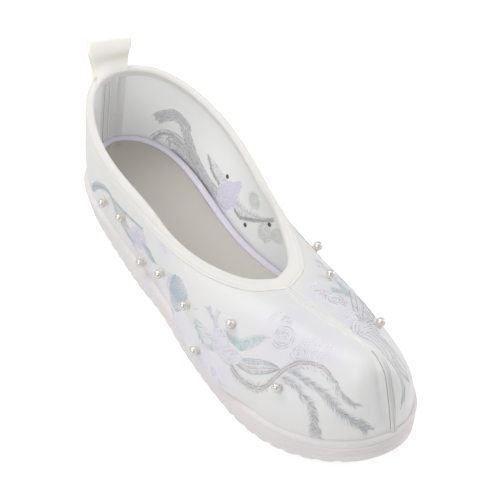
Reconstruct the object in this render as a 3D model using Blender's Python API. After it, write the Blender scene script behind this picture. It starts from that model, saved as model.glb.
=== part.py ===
"""Embroidered cloth shoe for the right foot, empty and standing on its sole.

Lengths are millimetres and meshes are made in metres. Along is the distance from the back of the
heel towards the toe. X is across the foot with the inner (medial) side at +X, the toe points to -Y,
and the sole stands on Z = 0.
"""
import math
from typing import NamedTuple

import bmesh
import bpy
import numpy as np

MM = 0.001
LENGTH = 248.0
GAP = 0.3
CENTRE_ACROSS = 1.1

# Sole
SOLE_WALL = 14.0
TOE_SPRING = 11.0
SPRING_START = 193.0
ARCH_LIFT = 2.5
ARCH_START = 80.0
ARCH_END = 140.0
EDGE_BEVEL = 1.5
LIP_ROUND = 0.8
LIP_DROP = 1.5
WALL_DRAW = 0.4
HEEL_UNDERCUT = 3.5
FORE_UNDERCUT = 0.5
UNDERCUT_END = 88.0
LUG_PITCH = 7.8
LUG_FIRST = 11.0
LUG_LAST = 241.0
GROOVE_WIDTH = 2.8
GROOVE_DEPTH = 1.6
CUTTER_HALF_ACROSS = 70.0
CUTTER_BELOW = 4.0

# Swing of the right last away from a straight centre line
ARCH_SWING = -4.5
ARCH_SWING_START = 28.0
ARCH_SWING_END = 178.0
TOE_SWING = 5.6
TOE_SWING_START = 128.0
COLLAR_SWING_LOST = 0.65

# Upper
UPPER_WALL = 2.0
FEATHER_INSET = 2.0
KEEL_HEIGHT = 1.2
KEEL_HALF_WIDTH = 5.0
KEEL_START = 148.0
KEEL_FULL = 198.0
KEEL_FADE_POWER = 6
SIDE_COLUMNS = 48
WALL_ROWS = 12
COLLAR_CROWDING = 1.3
END_CROWDING = 0.42

# Footbed
INSOLE_HEEL = 10.0
INSOLE_FORE = 4.2
INSOLE_RAMP_START = 48.0
INSOLE_RAMP_END = 148.0
INSOLE_EDGE_ROUND = 0.8
EDGING_WIDTH = 3.4
FOOTBED_CLEARANCE = 0.5

# Collar binding, folded over the edge of the upper
BINDING_TAPE = 0.8
BINDING_OUTSIDE = 8.0
BINDING_INSIDE = 6.5
BINDING_CLEARANCE = 0.65
RIM_CLEARANCE = 1.6

# Pull loop behind the heel
LOOP_WIDTH = 24.0
LOOP_TAPE = 1.2
LOOP_HEIGHT = 23.0
LOOP_OUTER_LEG = 9.0
LOOP_INNER_LEG = 7.5
LOOP_CURVED_TO = 2.5
LOOP_FLAT_FROM = 11.0
LOOP_ACROSS = 8
LOOP_LEG_STEPS = 6
LOOP_FOLD_STEPS = 6

# Pearls
PEARL_RADIUS = 2.4
PEARL_SEGMENTS = 8
PEARL_RINGS = 5

# Fineness of the curves
KNOT_POWER = 0.6
ARC_SAMPLES = 600
DROP_SAMPLES = 120
SHARP_ANGLE = 40.0


class Section(NamedTuple):
    """One section of the last, from the edge of the sole up to the collar."""

    name: str
    sole_along: float
    sole_half: float
    collar_along: float
    collar_half: float
    collar_height: float
    foot_lean: float
    foot_rise: float
    top_reach: float
    top_lean: float
    top_rise: float


SECTIONS = (
    Section("heel back", 0.0, 0.0, 3.0, 0.0, 68.5, 0.5, 20.0, 0.0, 0.0, -18.0),
    Section("heel corner", 10.2, 18.8, 12.3, 18.4, 69.5, 2.4, 18.5, 0.0, 1.2, -16.0),
    Section("heel side", 38.0, 28.0, 39.0, 31.7, 65.0, 2.3, 16.0, 0.0, 1.0, -16.0),
    Section("waist", 103.0, 29.4, 87.0, 32.0, 60.5, 3.2, 18.0, 0.20, 3.6, -10.0),
    Section("ball", 174.0, 42.0, 124.5, 24.8, 52.3, 4.0, 16.2, 0.35, 1.4, -3.2),
    Section("toe side", 216.0, 36.5, 148.0, 13.7, 51.8, 3.0, 21.0, 0.52, 0.0, 2.0),
    Section("toe corner", 241.5, 18.5, 155.0, 5.2, 52.3, 1.8, 39.5, 0.73, 0.0, 8.5),
    Section("toe tip", 248.0, 0.0, 156.5, 0.0, 51.8, -0.5, 62.0, 0.87, 0.0, 4.0),
)


class PearlSeat(NamedTuple):
    """A pearl's place on each side: share of the way from heel to toe, and of the way up the wall."""

    outer_around: float
    outer_up: float
    inner_around: float
    inner_up: float


PEARL_SEATS = (
    PearlSeat(0.222, 0.32, 0.222, 0.32),
    PearlSeat(0.305, 0.49, 0.312, 0.47),
    PearlSeat(0.360, 0.14, 0.390, 0.22),
    PearlSeat(0.461, 0.40, 0.462, 0.43),
    PearlSeat(0.575, 0.45, 0.635, 0.62),
    PearlSeat(0.735, 0.63, 0.790, 0.75),
    PearlSeat(0.585, 0.10, 0.585, 0.10),
    PearlSeat(0.815, 0.36, 0.860, 0.53),
)


class Finish(NamedTuple):
    """Colour, roughness and metallic value of a piece."""

    name: str
    colour: tuple
    roughness: float
    metallic: float = 0.0


SATIN = Finish("white_satin", (0.80, 0.81, 0.83), 0.40)
RUBBER = Finish("pale_moulded_rubber", (0.80, 0.74, 0.75), 0.55)
FOOTBED_CLOTH = Finish("beige_footbed_cloth", (0.60, 0.57, 0.54), 0.85)
LILAC_TAPE = Finish("lilac_tape", (0.70, 0.67, 0.82), 0.75)
IVORY_TAPE = Finish("ivory_cotton_tape", (0.83, 0.80, 0.76), 0.80)
PEARL = Finish("pearl", (0.80, 0.78, 0.74), 0.15)


def smooth_step(start, end, value):
    """Ease from 0 at start to 1 at end."""
    share = np.clip((value - start) / (end - start), 0.0, 1.0)
    return share * share * (3.0 - 2.0 * share)


def closed_spline(knots, values):
    """Return the smooth closed curve that passes each row of values at its knot."""
    step = np.diff(knots)
    before = np.roll(step, 1)
    count = len(step)
    slope = (np.roll(values, -1, axis=0) - values) / step[:, None]
    matrix = np.zeros((count, count))
    for row in range(count):
        matrix[row, (row - 1) % count] += step[row]
        matrix[row, row] += 2.0 * (step[row] + before[row])
        matrix[row, (row + 1) % count] += before[row]
    right = 3.0 * (step[:, None] * np.roll(slope, 1, axis=0) + before[:, None] * slope)
    tangent = np.linalg.solve(matrix, right)

    def at(place):
        place = np.asarray(place, dtype=float) % knots[-1]
        low = np.clip(np.searchsorted(knots, place, side="right") - 1, 0, count - 1)
        high = (low + 1) % count
        share = ((place - knots[low]) / step[low])[..., None]
        span = step[low][..., None]
        rest = 1.0 - share
        return ((1.0 + 2.0 * share) * rest ** 2 * values[low] + share * rest ** 2 * span * tangent[low]
                + share ** 2 * (3.0 - 2.0 * share) * values[high]
                - share ** 2 * rest * span * tangent[high])

    return at


def running_length(path):
    """Length along a path at each of its points."""
    steps = np.linalg.norm(np.diff(path, axis=0), axis=1)
    return np.concatenate([np.zeros(1), np.cumsum(steps)])


def bottom_height(along):
    """Height of the tread face: flat heel and forefoot, lifted arch and sprung toe."""
    arch = np.clip((along - ARCH_START) / (ARCH_END - ARCH_START), 0.0, 1.0)
    toe = np.clip((along - SPRING_START) / (LENGTH - SPRING_START), 0.0, None)
    return ARCH_LIFT * np.sin(math.pi * arch) ** 2 + TOE_SPRING * toe ** 2


def edge_height(along):
    """Height of the sole's upper edge, which follows the toe spring but not the arch."""
    toe = np.clip((along - SPRING_START) / (LENGTH - SPRING_START), 0.0, None)
    return SOLE_WALL + TOE_SPRING * toe ** 2


def undercut(along):
    """How far the foot of the sole wall is drawn in below its upper edge."""
    return HEEL_UNDERCUT + (FORE_UNDERCUT - HEEL_UNDERCUT) * smooth_step(0.0, UNDERCUT_END, along)


def insole_thickness(along):
    """Footbed thickness, with a wedge under the heel."""
    ramp = smooth_step(INSOLE_RAMP_START, INSOLE_RAMP_END, along)
    return INSOLE_HEEL + (INSOLE_FORE - INSOLE_HEEL) * ramp


def swing(along):
    """Sideways curve of the last's centre line."""
    arch = np.clip((along - ARCH_SWING_START) / (ARCH_SWING_END - ARCH_SWING_START), 0.0, 1.0)
    toe = smooth_step(TOE_SWING_START, LENGTH, along)
    return ARCH_SWING * np.sin(math.pi * arch) ** 2 + TOE_SWING * toe


def plan_normal(direction):
    """Outward normal of a plan curve that runs from the heel along the outer side to the toe."""
    normal = np.stack([-direction[..., 1], direction[..., 0]], axis=-1)
    return normal / np.maximum(np.linalg.norm(normal, axis=-1), 1e-9)[..., None]


class Last:
    """The shoe's form, as functions of the place around (heel, outer side, toe, inner side)."""

    FIELDS = {name: place for place, name in enumerate(Section._fields[1:])}
    SMALL = 1e-3

    def __init__(self):
        rows = np.array([section[1:] for section in SECTIONS])
        count = len(rows)
        ring = np.vstack([rows, rows[-2:0:-1]])
        side = np.concatenate([np.zeros(1), -np.ones(count - 2), np.zeros(1), np.ones(count - 2)])
        for name in ("sole_half", "collar_half"):
            ring[:, self.FIELDS[name]] *= side
        plan = ring[:, [self.FIELDS["sole_half"], self.FIELDS["sole_along"]]]
        step = np.linalg.norm(np.roll(plan, -1, axis=0) - plan, axis=1) ** KNOT_POWER
        self.knots = np.concatenate([np.zeros(1), np.cumsum(step)])
        self.toe = self.knots[count - 1]
        self.curve = closed_spline(self.knots, ring)
        places = np.linspace(0.0, self.toe, ARC_SAMPLES)
        path = self.plan(places, "sole_half", "sole_along")
        self.arc = running_length(path)
        self.arc_places = places
        share = np.arange(SIDE_COLUMNS + 1) / SIDE_COLUMNS
        crowded = share - END_CROWDING * np.sin(2.0 * math.pi * share) / (2.0 * math.pi)
        outer = self.around(crowded)
        inner = self.knots[-1] - outer[-2:0:-1]
        self.columns = np.concatenate([outer, inner])

    def field(self, place, name):
        """Value of one field of the section table at a place around."""
        return self.curve(place)[..., self.FIELDS[name]]

    def plan(self, place, half, along):
        """Plan point of the sole edge or the collar, on a straight centre line."""
        return np.stack([self.field(place, half), self.field(place, along)], axis=-1)

    def around(self, share):
        """Place around at a share of the outer side's length, 0 at the heel and 1 at the toe."""
        return np.interp(np.asarray(share) * self.arc[-1], self.arc, self.arc_places)

    def sole_plan(self, place, inset):
        """Plan point of the sole's edge, moved inwards by inset."""
        ahead = self.plan(place + self.SMALL, "sole_half", "sole_along")
        behind = self.plan(place - self.SMALL, "sole_half", "sole_along")
        edge = self.plan(place, "sole_half", "sole_along")
        normal = plan_normal(ahead - behind)
        return edge - np.asarray(inset)[..., None] * normal, normal

    def collar_normal(self, place):
        """Outward normal of the collar in plan."""
        ahead = self.plan(place + self.SMALL, "collar_half", "collar_along")
        behind = self.plan(place - self.SMALL, "collar_half", "collar_along")
        return plan_normal(ahead - behind)

    def ring(self, inset, height):
        """One ring of sole or footbed points, with height given as a function of along."""
        place = self.columns
        plan, _ = self.sole_plan(place, inset)
        along = plan[:, 1]
        return in_frame(plan[:, 0] + swing(along), along, height(along))

    def wall(self, place, up):
        """Point on the outer face of the upper, up from 0 at the sole to 1 at the collar."""
        place, up = np.broadcast_arrays(np.asarray(place, dtype=float), np.asarray(up, dtype=float))
        foot_plan, foot_normal = self.sole_plan(place, np.full(place.shape, FEATHER_INSET))
        top_plan = self.plan(place, "collar_half", "collar_along")
        top_normal = self.collar_normal(place)
        foot_height = edge_height(foot_plan[..., 1]) + GAP
        top_height = self.field(place, "collar_height")
        lower_plan = foot_plan + self.field(place, "foot_lean")[..., None] * foot_normal
        upper_plan = (top_plan + self.field(place, "top_reach")[..., None] * (foot_plan - top_plan)
                      + self.field(place, "top_lean")[..., None] * top_normal)
        lower_height = foot_height + self.field(place, "foot_rise")
        upper_height = top_height + self.field(place, "top_rise")
        rest = 1.0 - up
        weights = (rest ** 3, 3.0 * up * rest ** 2, 3.0 * up ** 2 * rest, up ** 3)
        plans = (foot_plan, lower_plan, upper_plan, top_plan)
        heights = (foot_height, lower_height, upper_height, top_height)
        plan = sum(weight[..., None] * point for weight, point in zip(weights, plans))
        height = sum(weight * value for weight, value in zip(weights, heights))
        across, along = plan[..., 0], plan[..., 1]
        toe_share = np.clip((along - KEEL_START) / (LENGTH - KEEL_START), 0.0, 1.0)
        keel = smooth_step(KEEL_START, KEEL_FULL, along) * (1.0 - toe_share ** KEEL_FADE_POWER)
        height = height + KEEL_HEIGHT * keel * np.exp(-(across / KEEL_HALF_WIDTH) ** 2)
        across = across + swing(along) * (1.0 - COLLAR_SWING_LOST * up)
        return in_frame(across, along, height)

    def wall_normal(self, place, up):
        """Outward unit normal of the upper's outer face."""
        up = np.asarray(up, dtype=float)
        low = np.clip(up - self.SMALL, 0.0, 1.0)
        high = np.clip(up + self.SMALL, 0.0, 1.0)
        along_ring = self.wall(place + self.SMALL, up) - self.wall(place - self.SMALL, up)
        along_wall = self.wall(place, high) - self.wall(place, low)
        normal = np.cross(along_ring, along_wall)
        return normal / np.linalg.norm(normal, axis=-1)[..., None]

    def below_collar(self, place, drop, offset):
        """Point at a drop below the collar edge along the wall, moved out by offset.

        A negative drop carries on above the edge in the wall's own direction.
        """
        ups = np.linspace(1.0, 0.0, DROP_SAMPLES)
        path = self.wall(np.full(ups.shape, place), ups)
        up = np.interp(max(drop, 0.0), running_length(path), ups)
        normal = self.wall_normal(place, up)
        point = self.wall(place, up) + offset * normal
        if drop < 0.0:
            rising = path[0] - path[1]
            point = point - drop * rising / np.linalg.norm(rising)
        return point


def in_frame(across, along, height):
    """Turn across, along and height into the shoe's X, Y, Z, centred on its box."""
    return np.stack([across - CENTRE_ACROSS, LENGTH / 2.0 - along, height], axis=-1)


def new_material(finish):
    """Principled material of a finish, made once."""
    material = bpy.data.materials.get(finish.name)
    if material is None:
        material = bpy.data.materials.new(finish.name)
        material.use_nodes = True
        shader = material.node_tree.nodes["Principled BSDF"]
        shader.inputs["Base Color"].default_value = (*finish.colour, 1.0)
        shader.inputs["Roughness"].default_value = finish.roughness
        shader.inputs["Metallic"].default_value = finish.metallic
    return material


def new_object(name, points, faces, finish, parent):
    """Mesh object from millimetre points, shaded smooth with its true edges kept sharp."""
    mesh = bpy.data.meshes.new(name)
    mesh.from_pydata((np.asarray(points) * MM).tolist(), [], faces)
    mesh.validate()
    mesh.shade_smooth()
    mesh.set_sharp_from_angle(angle=math.radians(SHARP_ANGLE))
    mesh.materials.append(new_material(finish))
    shape = bpy.data.objects.new(name, mesh)
    shape.parent = parent
    bpy.context.scene.collection.objects.link(shape)
    return shape


def ring_faces(ring_count, closed_section):
    """Quads between neighbouring rings of points, and back to the first ring if closed."""
    columns = 2 * SIDE_COLUMNS
    faces = []
    for ring in range(ring_count if closed_section else ring_count - 1):
        after = (ring + 1) % ring_count
        for column in range(columns):
            ahead = (column + 1) % columns
            faces.append((ring * columns + column, ring * columns + ahead,
                          after * columns + ahead, after * columns + column))
    return faces


def plate_faces(ring, facing_up):
    """Strips across a ring, from its outer side to its inner side, that close it level by level."""
    columns = 2 * SIDE_COLUMNS
    first = ring * columns
    faces = []
    for column in range(SIDE_COLUMNS):
        outer = (first + column, first + column + 1)
        inner = (first + (columns - column) % columns, first + columns - column - 1)
        corners = [outer[0], outer[1], inner[1], inner[0]]
        strip = [corner for place, corner in enumerate(corners) if corner not in corners[:place]]
        faces.append(strip if facing_up else strip[::-1])
    return [tuple(face) for face in faces]


def build_outsole(last, parent):
    """Moulded sole: undercut wall, rolled upper edge, arch, toe spring and cross lugs."""
    edge_along = last.field(last.columns, "sole_along")
    drawn_in = undercut(edge_along)
    flush = np.zeros(drawn_in.shape)
    rings = (
        last.ring(drawn_in + EDGE_BEVEL, bottom_height),
        last.ring(drawn_in, lambda along: bottom_height(along) + EDGE_BEVEL),
        last.ring(drawn_in * WALL_DRAW, lambda along: (bottom_height(along) + edge_height(along)) / 2.0),
        last.ring(flush, lambda along: edge_height(along) - LIP_DROP),
        last.ring(flush + LIP_ROUND, edge_height),
    )
    faces = ring_faces(len(rings), closed_section=False)
    faces += plate_faces(0, facing_up=False)
    faces += plate_faces(len(rings) - 1, facing_up=True)
    outsole = new_object("outsole", np.concatenate(rings), faces, RUBBER, parent)
    cut = outsole.modifiers.new("cross grooves", "BOOLEAN")
    cut.operation = "DIFFERENCE"
    cut.object = build_groove_cutter(parent)
    return outsole


def build_groove_cutter(parent):
    """Bars across the tread, one under each groove between two lugs."""
    points, faces = [], []
    for along in np.arange(LUG_FIRST, LUG_LAST, LUG_PITCH):
        behind = along - GROOVE_WIDTH / 2.0
        ahead = along + GROOVE_WIDTH / 2.0
        corners = ((behind, -CUTTER_BELOW), (ahead, -CUTTER_BELOW),
                   (ahead, GROOVE_DEPTH), (behind, GROOVE_DEPTH))
        first = len(points)
        for across in (-CUTTER_HALF_ACROSS, CUTTER_HALF_ACROSS):
            for edge, rise in corners:
                points.append(in_frame(across, edge, float(bottom_height(edge)) + rise))
        near = [first, first + 1, first + 2, first + 3]
        far = [first + 4, first + 5, first + 6, first + 7]
        faces += [tuple(near), tuple(far[::-1])]
        faces += [(near[i], far[i], far[(i + 1) % 4], near[(i + 1) % 4]) for i in range(4)]
    cutter = new_object("groove_cutter", points, faces, RUBBER, parent)
    recalculate_normals(cutter)
    cutter.hide_render = True
    cutter.display_type = "WIRE"
    return cutter


def recalculate_normals(shape):
    """Turn every face of a closed mesh outwards."""
    work = bmesh.new()
    work.from_mesh(shape.data)
    bmesh.ops.recalc_face_normals(work, faces=work.faces)
    work.to_mesh(shape.data)
    work.free()


def build_upper(last, parent):
    """Lasted shell of satin and lining, open at the collar and underneath."""
    ups = 1.0 - np.linspace(1.0, 0.0, WALL_ROWS + 1) ** COLLAR_CROWDING
    rows = [last.wall(last.columns, up) for up in ups]
    faces = ring_faces(len(rows), closed_section=False)
    upper = new_object("upper", np.concatenate(rows), faces, SATIN, parent)
    wall = upper.modifiers.new("wall thickness", "SOLIDIFY")
    wall.thickness = UPPER_WALL * MM
    wall.offset = -1.0
    return upper


def footbed_inset(extra):
    """Inset from the sole's edge to a line inside the upper, extra further in."""
    return np.full(2 * SIDE_COLUMNS, FEATHER_INSET + UPPER_WALL + FOOTBED_CLEARANCE + extra)


def footbed_height(share, extra):
    """Height function at a share of the footbed's thickness plus extra."""
    def height(along):
        return edge_height(along) + GAP + share * insole_thickness(along) + extra

    return height


def build_insole(last, parent):
    """Footbed that lies on the sole inside the upper, thicker under the heel."""
    edge = EDGING_WIDTH + GAP
    rings = (
        last.ring(footbed_inset(edge), footbed_height(0.0, 0.0)),
        last.ring(footbed_inset(edge), footbed_height(1.0, -INSOLE_EDGE_ROUND)),
        last.ring(footbed_inset(edge + INSOLE_EDGE_ROUND), footbed_height(1.0, 0.0)),
    )
    faces = ring_faces(len(rings), closed_section=False)
    faces += plate_faces(0, facing_up=False)
    faces += plate_faces(len(rings) - 1, facing_up=True)
    return new_object("insole", np.concatenate(rings), faces, FOOTBED_CLOTH, parent)


def build_insole_edging(last, parent):
    """Tape bound around the footbed, a ring between the footbed and the upper."""
    rings = (
        last.ring(footbed_inset(0.0), footbed_height(0.0, 0.0)),
        last.ring(footbed_inset(0.0), footbed_height(1.0, -INSOLE_EDGE_ROUND)),
        last.ring(footbed_inset(EDGING_WIDTH / 2.0), footbed_height(1.0, 0.0)),
        last.ring(footbed_inset(EDGING_WIDTH), footbed_height(1.0, -INSOLE_EDGE_ROUND)),
        last.ring(footbed_inset(EDGING_WIDTH), footbed_height(0.0, 0.0)),
    )
    faces = ring_faces(len(rings), closed_section=True)
    return new_object("insole_edging", np.concatenate(rings), faces, LILAC_TAPE, parent)


def build_collar_binding(last, parent):
    """Cotton tape folded over the collar edge, longer outside than inside."""
    near_out, far_out = BINDING_CLEARANCE, BINDING_CLEARANCE + BINDING_TAPE
    near_in, far_in = -UPPER_WALL - near_out, -UPPER_WALL - far_out
    fold_top = -RIM_CLEARANCE - BINDING_TAPE
    section = (
        (BINDING_OUTSIDE, far_out), (-RIM_CLEARANCE, far_out), (fold_top, near_out),
        (fold_top, near_in), (-RIM_CLEARANCE, far_in), (BINDING_INSIDE, far_in), (BINDING_INSIDE, near_in),
        (-RIM_CLEARANCE, near_in), (-RIM_CLEARANCE, near_out), (BINDING_OUTSIDE, near_out),
    )
    rings = [[last.below_collar(place, drop, offset) for place in last.columns] for drop, offset in section]
    faces = ring_faces(len(rings), closed_section=True)
    return new_object("collar_binding", np.concatenate(rings), faces, IVORY_TAPE, parent)


def loop_profile():
    """Outer and inner line of the folded loop, as (drop, offset) pairs from inner leg to outer leg."""
    stack = BINDING_CLEARANCE + BINDING_TAPE + GAP
    inner_face = -UPPER_WALL - stack
    outer_face = stack
    middle = (inner_face + outer_face) / 2.0
    inner_radius = (outer_face - inner_face) / 2.0
    fold_drop = -(LOOP_HEIGHT - inner_radius - LOOP_TAPE)
    lines = []
    for thickness in (LOOP_TAPE, 0.0):
        radius = inner_radius + thickness
        line = [(drop, middle - radius) for drop in np.linspace(LOOP_INNER_LEG, fold_drop, LOOP_LEG_STEPS)]
        for step in range(1, LOOP_FOLD_STEPS):
            angle = math.pi * step / LOOP_FOLD_STEPS
            line.append((fold_drop - radius * math.sin(angle), middle - radius * math.cos(angle)))
        line += [(drop, middle + radius) for drop in np.linspace(fold_drop, LOOP_OUTER_LEG, LOOP_LEG_STEPS)]
        lines.append(line)
    return lines


def loop_point(last, place, across, drop, offset):
    """Point of the loop: it follows the collar's curve at its foot and is flat across above it."""
    curved = last.below_collar(place, drop, offset)
    flat = last.below_collar(0.0, drop, offset) - np.array([across, 0.0, 0.0])
    share = smooth_step(LOOP_CURVED_TO, LOOP_FLAT_FROM, -drop)
    return curved + share * (flat - curved)


def build_pull_loop(last, parent):
    """Webbing loop: one leg inside the collar and one outside, folded over at the top."""
    outside, inside = loop_profile()
    section = outside + inside[::-1]
    collar_length = np.linalg.norm(last.wall(last.SMALL, 1.0) - last.wall(0.0, 1.0)) / last.SMALL
    half_turn = LOOP_WIDTH / 2.0 / collar_length
    places = np.linspace(-half_turn, half_turn, LOOP_ACROSS)
    points = [loop_point(last, place, place * collar_length, drop, offset)
              for place in places for drop, offset in section]
    count = len(section)
    faces = []
    for strip in range(LOOP_ACROSS - 1):
        for place in range(count):
            after = (place + 1) % count
            faces.append((strip * count + place, strip * count + after,
                          (strip + 1) * count + after, (strip + 1) * count + place))
    for first in (0, (LOOP_ACROSS - 1) * count):
        last_point = first + count - 1
        for place in range(len(outside) - 1):
            faces.append((first + place, first + place + 1, last_point - 1 - place, last_point - place))
    loop = new_object("pull_loop", points, faces, IVORY_TAPE, parent)
    recalculate_normals(loop)
    return loop


def build_pearls(last, parent):
    """Small pearls, each seated on the satin, eight to a side."""
    mesh = bpy.data.meshes.new("pearl")
    work = bmesh.new()
    bmesh.ops.create_uvsphere(work, u_segments=PEARL_SEGMENTS, v_segments=PEARL_RINGS,
                              radius=PEARL_RADIUS * MM)
    work.to_mesh(mesh)
    work.free()
    mesh.shade_smooth()
    mesh.materials.append(new_material(PEARL))
    for number, seat in enumerate(PEARL_SEATS, start=1):
        outer = float(last.around(seat.outer_around))
        inner = last.knots[-1] - float(last.around(seat.inner_around))
        for side, place, up in (("outer", outer, seat.outer_up), ("inner", inner, seat.inner_up)):
            normal = last.wall_normal(place, up)
            centre = last.wall(place, up) + (PEARL_RADIUS + GAP) * normal
            pearl = bpy.data.objects.new(f"pearl_{side}_{number}", mesh)
            pearl.location = centre * MM
            pearl.parent = parent
            bpy.context.scene.collection.objects.link(pearl)


def main():
    """Model every piece of the shoe under one empty."""
    for shape in list(bpy.data.objects):
        bpy.data.objects.remove(shape, do_unlink=True)
    shoe = bpy.data.objects.new("shoe", None)
    bpy.context.scene.collection.objects.link(shoe)
    last = Last()
    build_outsole(last, shoe)
    build_upper(last, shoe)
    build_insole(last, shoe)
    build_insole_edging(last, shoe)
    build_collar_binding(last, shoe)
    build_pull_loop(last, shoe)
    build_pearls(last, shoe)


if __name__ == "__main__":
    main()
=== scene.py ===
"""Looks of an embroidered cloth shoe for the right foot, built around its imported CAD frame.

Lengths are millimetres until a mesh is made, and then metres. Along runs from the back of the heel
towards the toe. Each place on the wall of the shoe is given by a side, the share of the way around
from heel to toe, and the share of the way up from the sole to the collar.
"""

import logging
import math
from dataclasses import dataclass, field
from enum import Enum
from typing import Callable, NamedTuple, Sequence

import bpy
import numpy as np
from mathutils import Matrix


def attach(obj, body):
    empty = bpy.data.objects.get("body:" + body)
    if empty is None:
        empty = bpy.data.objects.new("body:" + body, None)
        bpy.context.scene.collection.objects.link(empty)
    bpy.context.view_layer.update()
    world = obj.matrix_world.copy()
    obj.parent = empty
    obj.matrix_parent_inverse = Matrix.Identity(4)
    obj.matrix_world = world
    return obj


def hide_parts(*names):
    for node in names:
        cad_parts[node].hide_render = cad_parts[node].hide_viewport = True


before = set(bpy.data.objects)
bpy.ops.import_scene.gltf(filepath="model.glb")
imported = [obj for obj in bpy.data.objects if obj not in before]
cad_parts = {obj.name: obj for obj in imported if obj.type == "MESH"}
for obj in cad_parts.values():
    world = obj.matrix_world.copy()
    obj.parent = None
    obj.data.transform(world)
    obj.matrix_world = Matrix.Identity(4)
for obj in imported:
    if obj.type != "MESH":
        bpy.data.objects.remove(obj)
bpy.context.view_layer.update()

log = logging.getLogger("shoe")

MM = 0.001
BODY = "root"
# Points closer than this many metres are one point.
WELD_DISTANCE = 1e-6
# Depth in millimetres of the lining's face behind the satin's face.
LINING_FACE = 1.95
Array = np.ndarray
Piece = bpy.types.Object
Tree = bpy.types.NodeTree
Socket = bpy.types.NodeSocket
Pair = tuple[float, float]
Spot = tuple[float, float, float]
Places = Sequence[Pair]
Placing = Callable[[Array, Array], Array]


class Side(Enum):
    """Side of the foot, seen from its owner."""

    OUTER = "outer"
    INNER = "inner"


class Face(Enum):
    """Face of the upper that a stitch shows on."""

    OUTSIDE = "outside"
    LINING = "lining"


class Section(NamedTuple):
    """One section of the last, from the edge of the sole up to the collar."""

    name: str
    sole_along: float
    sole_half: float
    collar_along: float
    collar_half: float
    collar_height: float
    foot_lean: float
    foot_rise: float
    top_reach: float
    top_lean: float
    top_rise: float


SECTIONS = (
    Section("heel back", 0.0, 0.0, 3.0, 0.0, 68.5, 0.5, 20.0, 0.0, 0.0, -18.0),
    Section("heel corner", 10.2, 18.8, 12.3, 18.4, 69.5, 2.4, 18.5, 0.0, 1.2, -16.0),
    Section("heel side", 38.0, 28.0, 39.0, 31.7, 65.0, 2.3, 16.0, 0.0, 1.0, -16.0),
    Section("waist", 103.0, 29.4, 87.0, 32.0, 60.5, 3.2, 18.0, 0.20, 3.6, -10.0),
    Section("ball", 174.0, 42.0, 124.5, 24.8, 52.3, 4.0, 16.2, 0.35, 1.4, -3.2),
    Section("toe side", 216.0, 36.5, 148.0, 13.7, 51.8, 3.0, 21.0, 0.52, 0.0, 2.0),
    Section("toe corner", 241.5, 18.5, 155.0, 5.2, 52.3, 1.8, 39.5, 0.73, 0.0, 8.5),
    Section("toe tip", 248.0, 0.0, 156.5, 0.0, 51.8, -0.5, 62.0, 0.87, 0.0, 4.0),
)


class Seat(NamedTuple):
    """A pearl's place on each side."""

    outer_around: float
    outer_up: float
    inner_around: float
    inner_up: float


SEATS = (
    Seat(0.222, 0.32, 0.222, 0.32),
    Seat(0.305, 0.49, 0.312, 0.47),
    Seat(0.360, 0.14, 0.390, 0.22),
    Seat(0.461, 0.40, 0.462, 0.43),
    Seat(0.575, 0.45, 0.635, 0.62),
    Seat(0.735, 0.63, 0.794, 0.775),
    Seat(0.600, 0.17, 0.585, 0.10),
    Seat(0.815, 0.36, 0.860, 0.53),
)


def smooth_step(start: float, end: float, value: Array) -> Array:
    """Ease from 0 at start to 1 at end."""
    share = np.clip((value - start) / (end - start), 0.0, 1.0)
    return share * share * (3.0 - 2.0 * share)


def bell(value: Array, centre: Array | float, width: float) -> Array:
    """Smooth bump of height 1 around a centre."""
    return np.exp(-((value - centre) / width) ** 2)


def unit(vectors: Array) -> Array:
    """Vectors of length 1 in the same directions."""
    return vectors / np.maximum(np.linalg.norm(vectors, axis=-1), 1e-9)[..., None]


def running_length(path: Array) -> Array:
    """Length along a path at each of its points."""
    steps = np.linalg.norm(np.diff(path, axis=0), axis=1)
    return np.concatenate([np.zeros(1), np.cumsum(steps)])


def read_along(at: Array, length: Array, rows: Array) -> Array:
    """Rows of a course, read between its points at lengths along it."""
    return np.stack([np.interp(at, length, column) for column in rows.T], axis=-1)


def curve_between(share: Array, span: Array, ends: tuple[Array, Array],
                  slopes: tuple[Array, Array]) -> Array:
    """Points of a cubic curve between two ends.

    Args:
        share: Shares of the way from the first end to the second.
        span: Distance between the ends.
        ends: The two ends.
        slopes: The curve's slopes there.

    Returns:
        One point for each share.
    """
    rest = 1.0 - share
    return ((1.0 + 2.0 * share) * rest ** 2 * ends[0] + share * rest ** 2 * span * slopes[0]
            + share ** 2 * (3.0 - 2.0 * share) * ends[1] - share ** 2 * rest * span * slopes[1])


def through(points: Places, shares: Array) -> Array:
    """Smooth curve through a few points.

    Args:
        points: The points to pass, in order.
        shares: Shares of the curve's length to give points at.

    Returns:
        One point for each share.
    """
    knots = np.asarray(points, dtype=float)
    at = running_length(knots)
    slope = np.gradient(knots, at, axis=0)
    wanted = np.clip(shares, 0.0, 1.0) * at[-1]
    low = np.clip(np.searchsorted(at, wanted, side="right") - 1, 0, len(at) - 2)
    span = (at[low + 1] - at[low])[:, None]
    share = (wanted[:, None] - at[low][:, None]) / span
    return curve_between(share, span, (knots[low], knots[low + 1]), (slope[low], slope[low + 1]))


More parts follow.
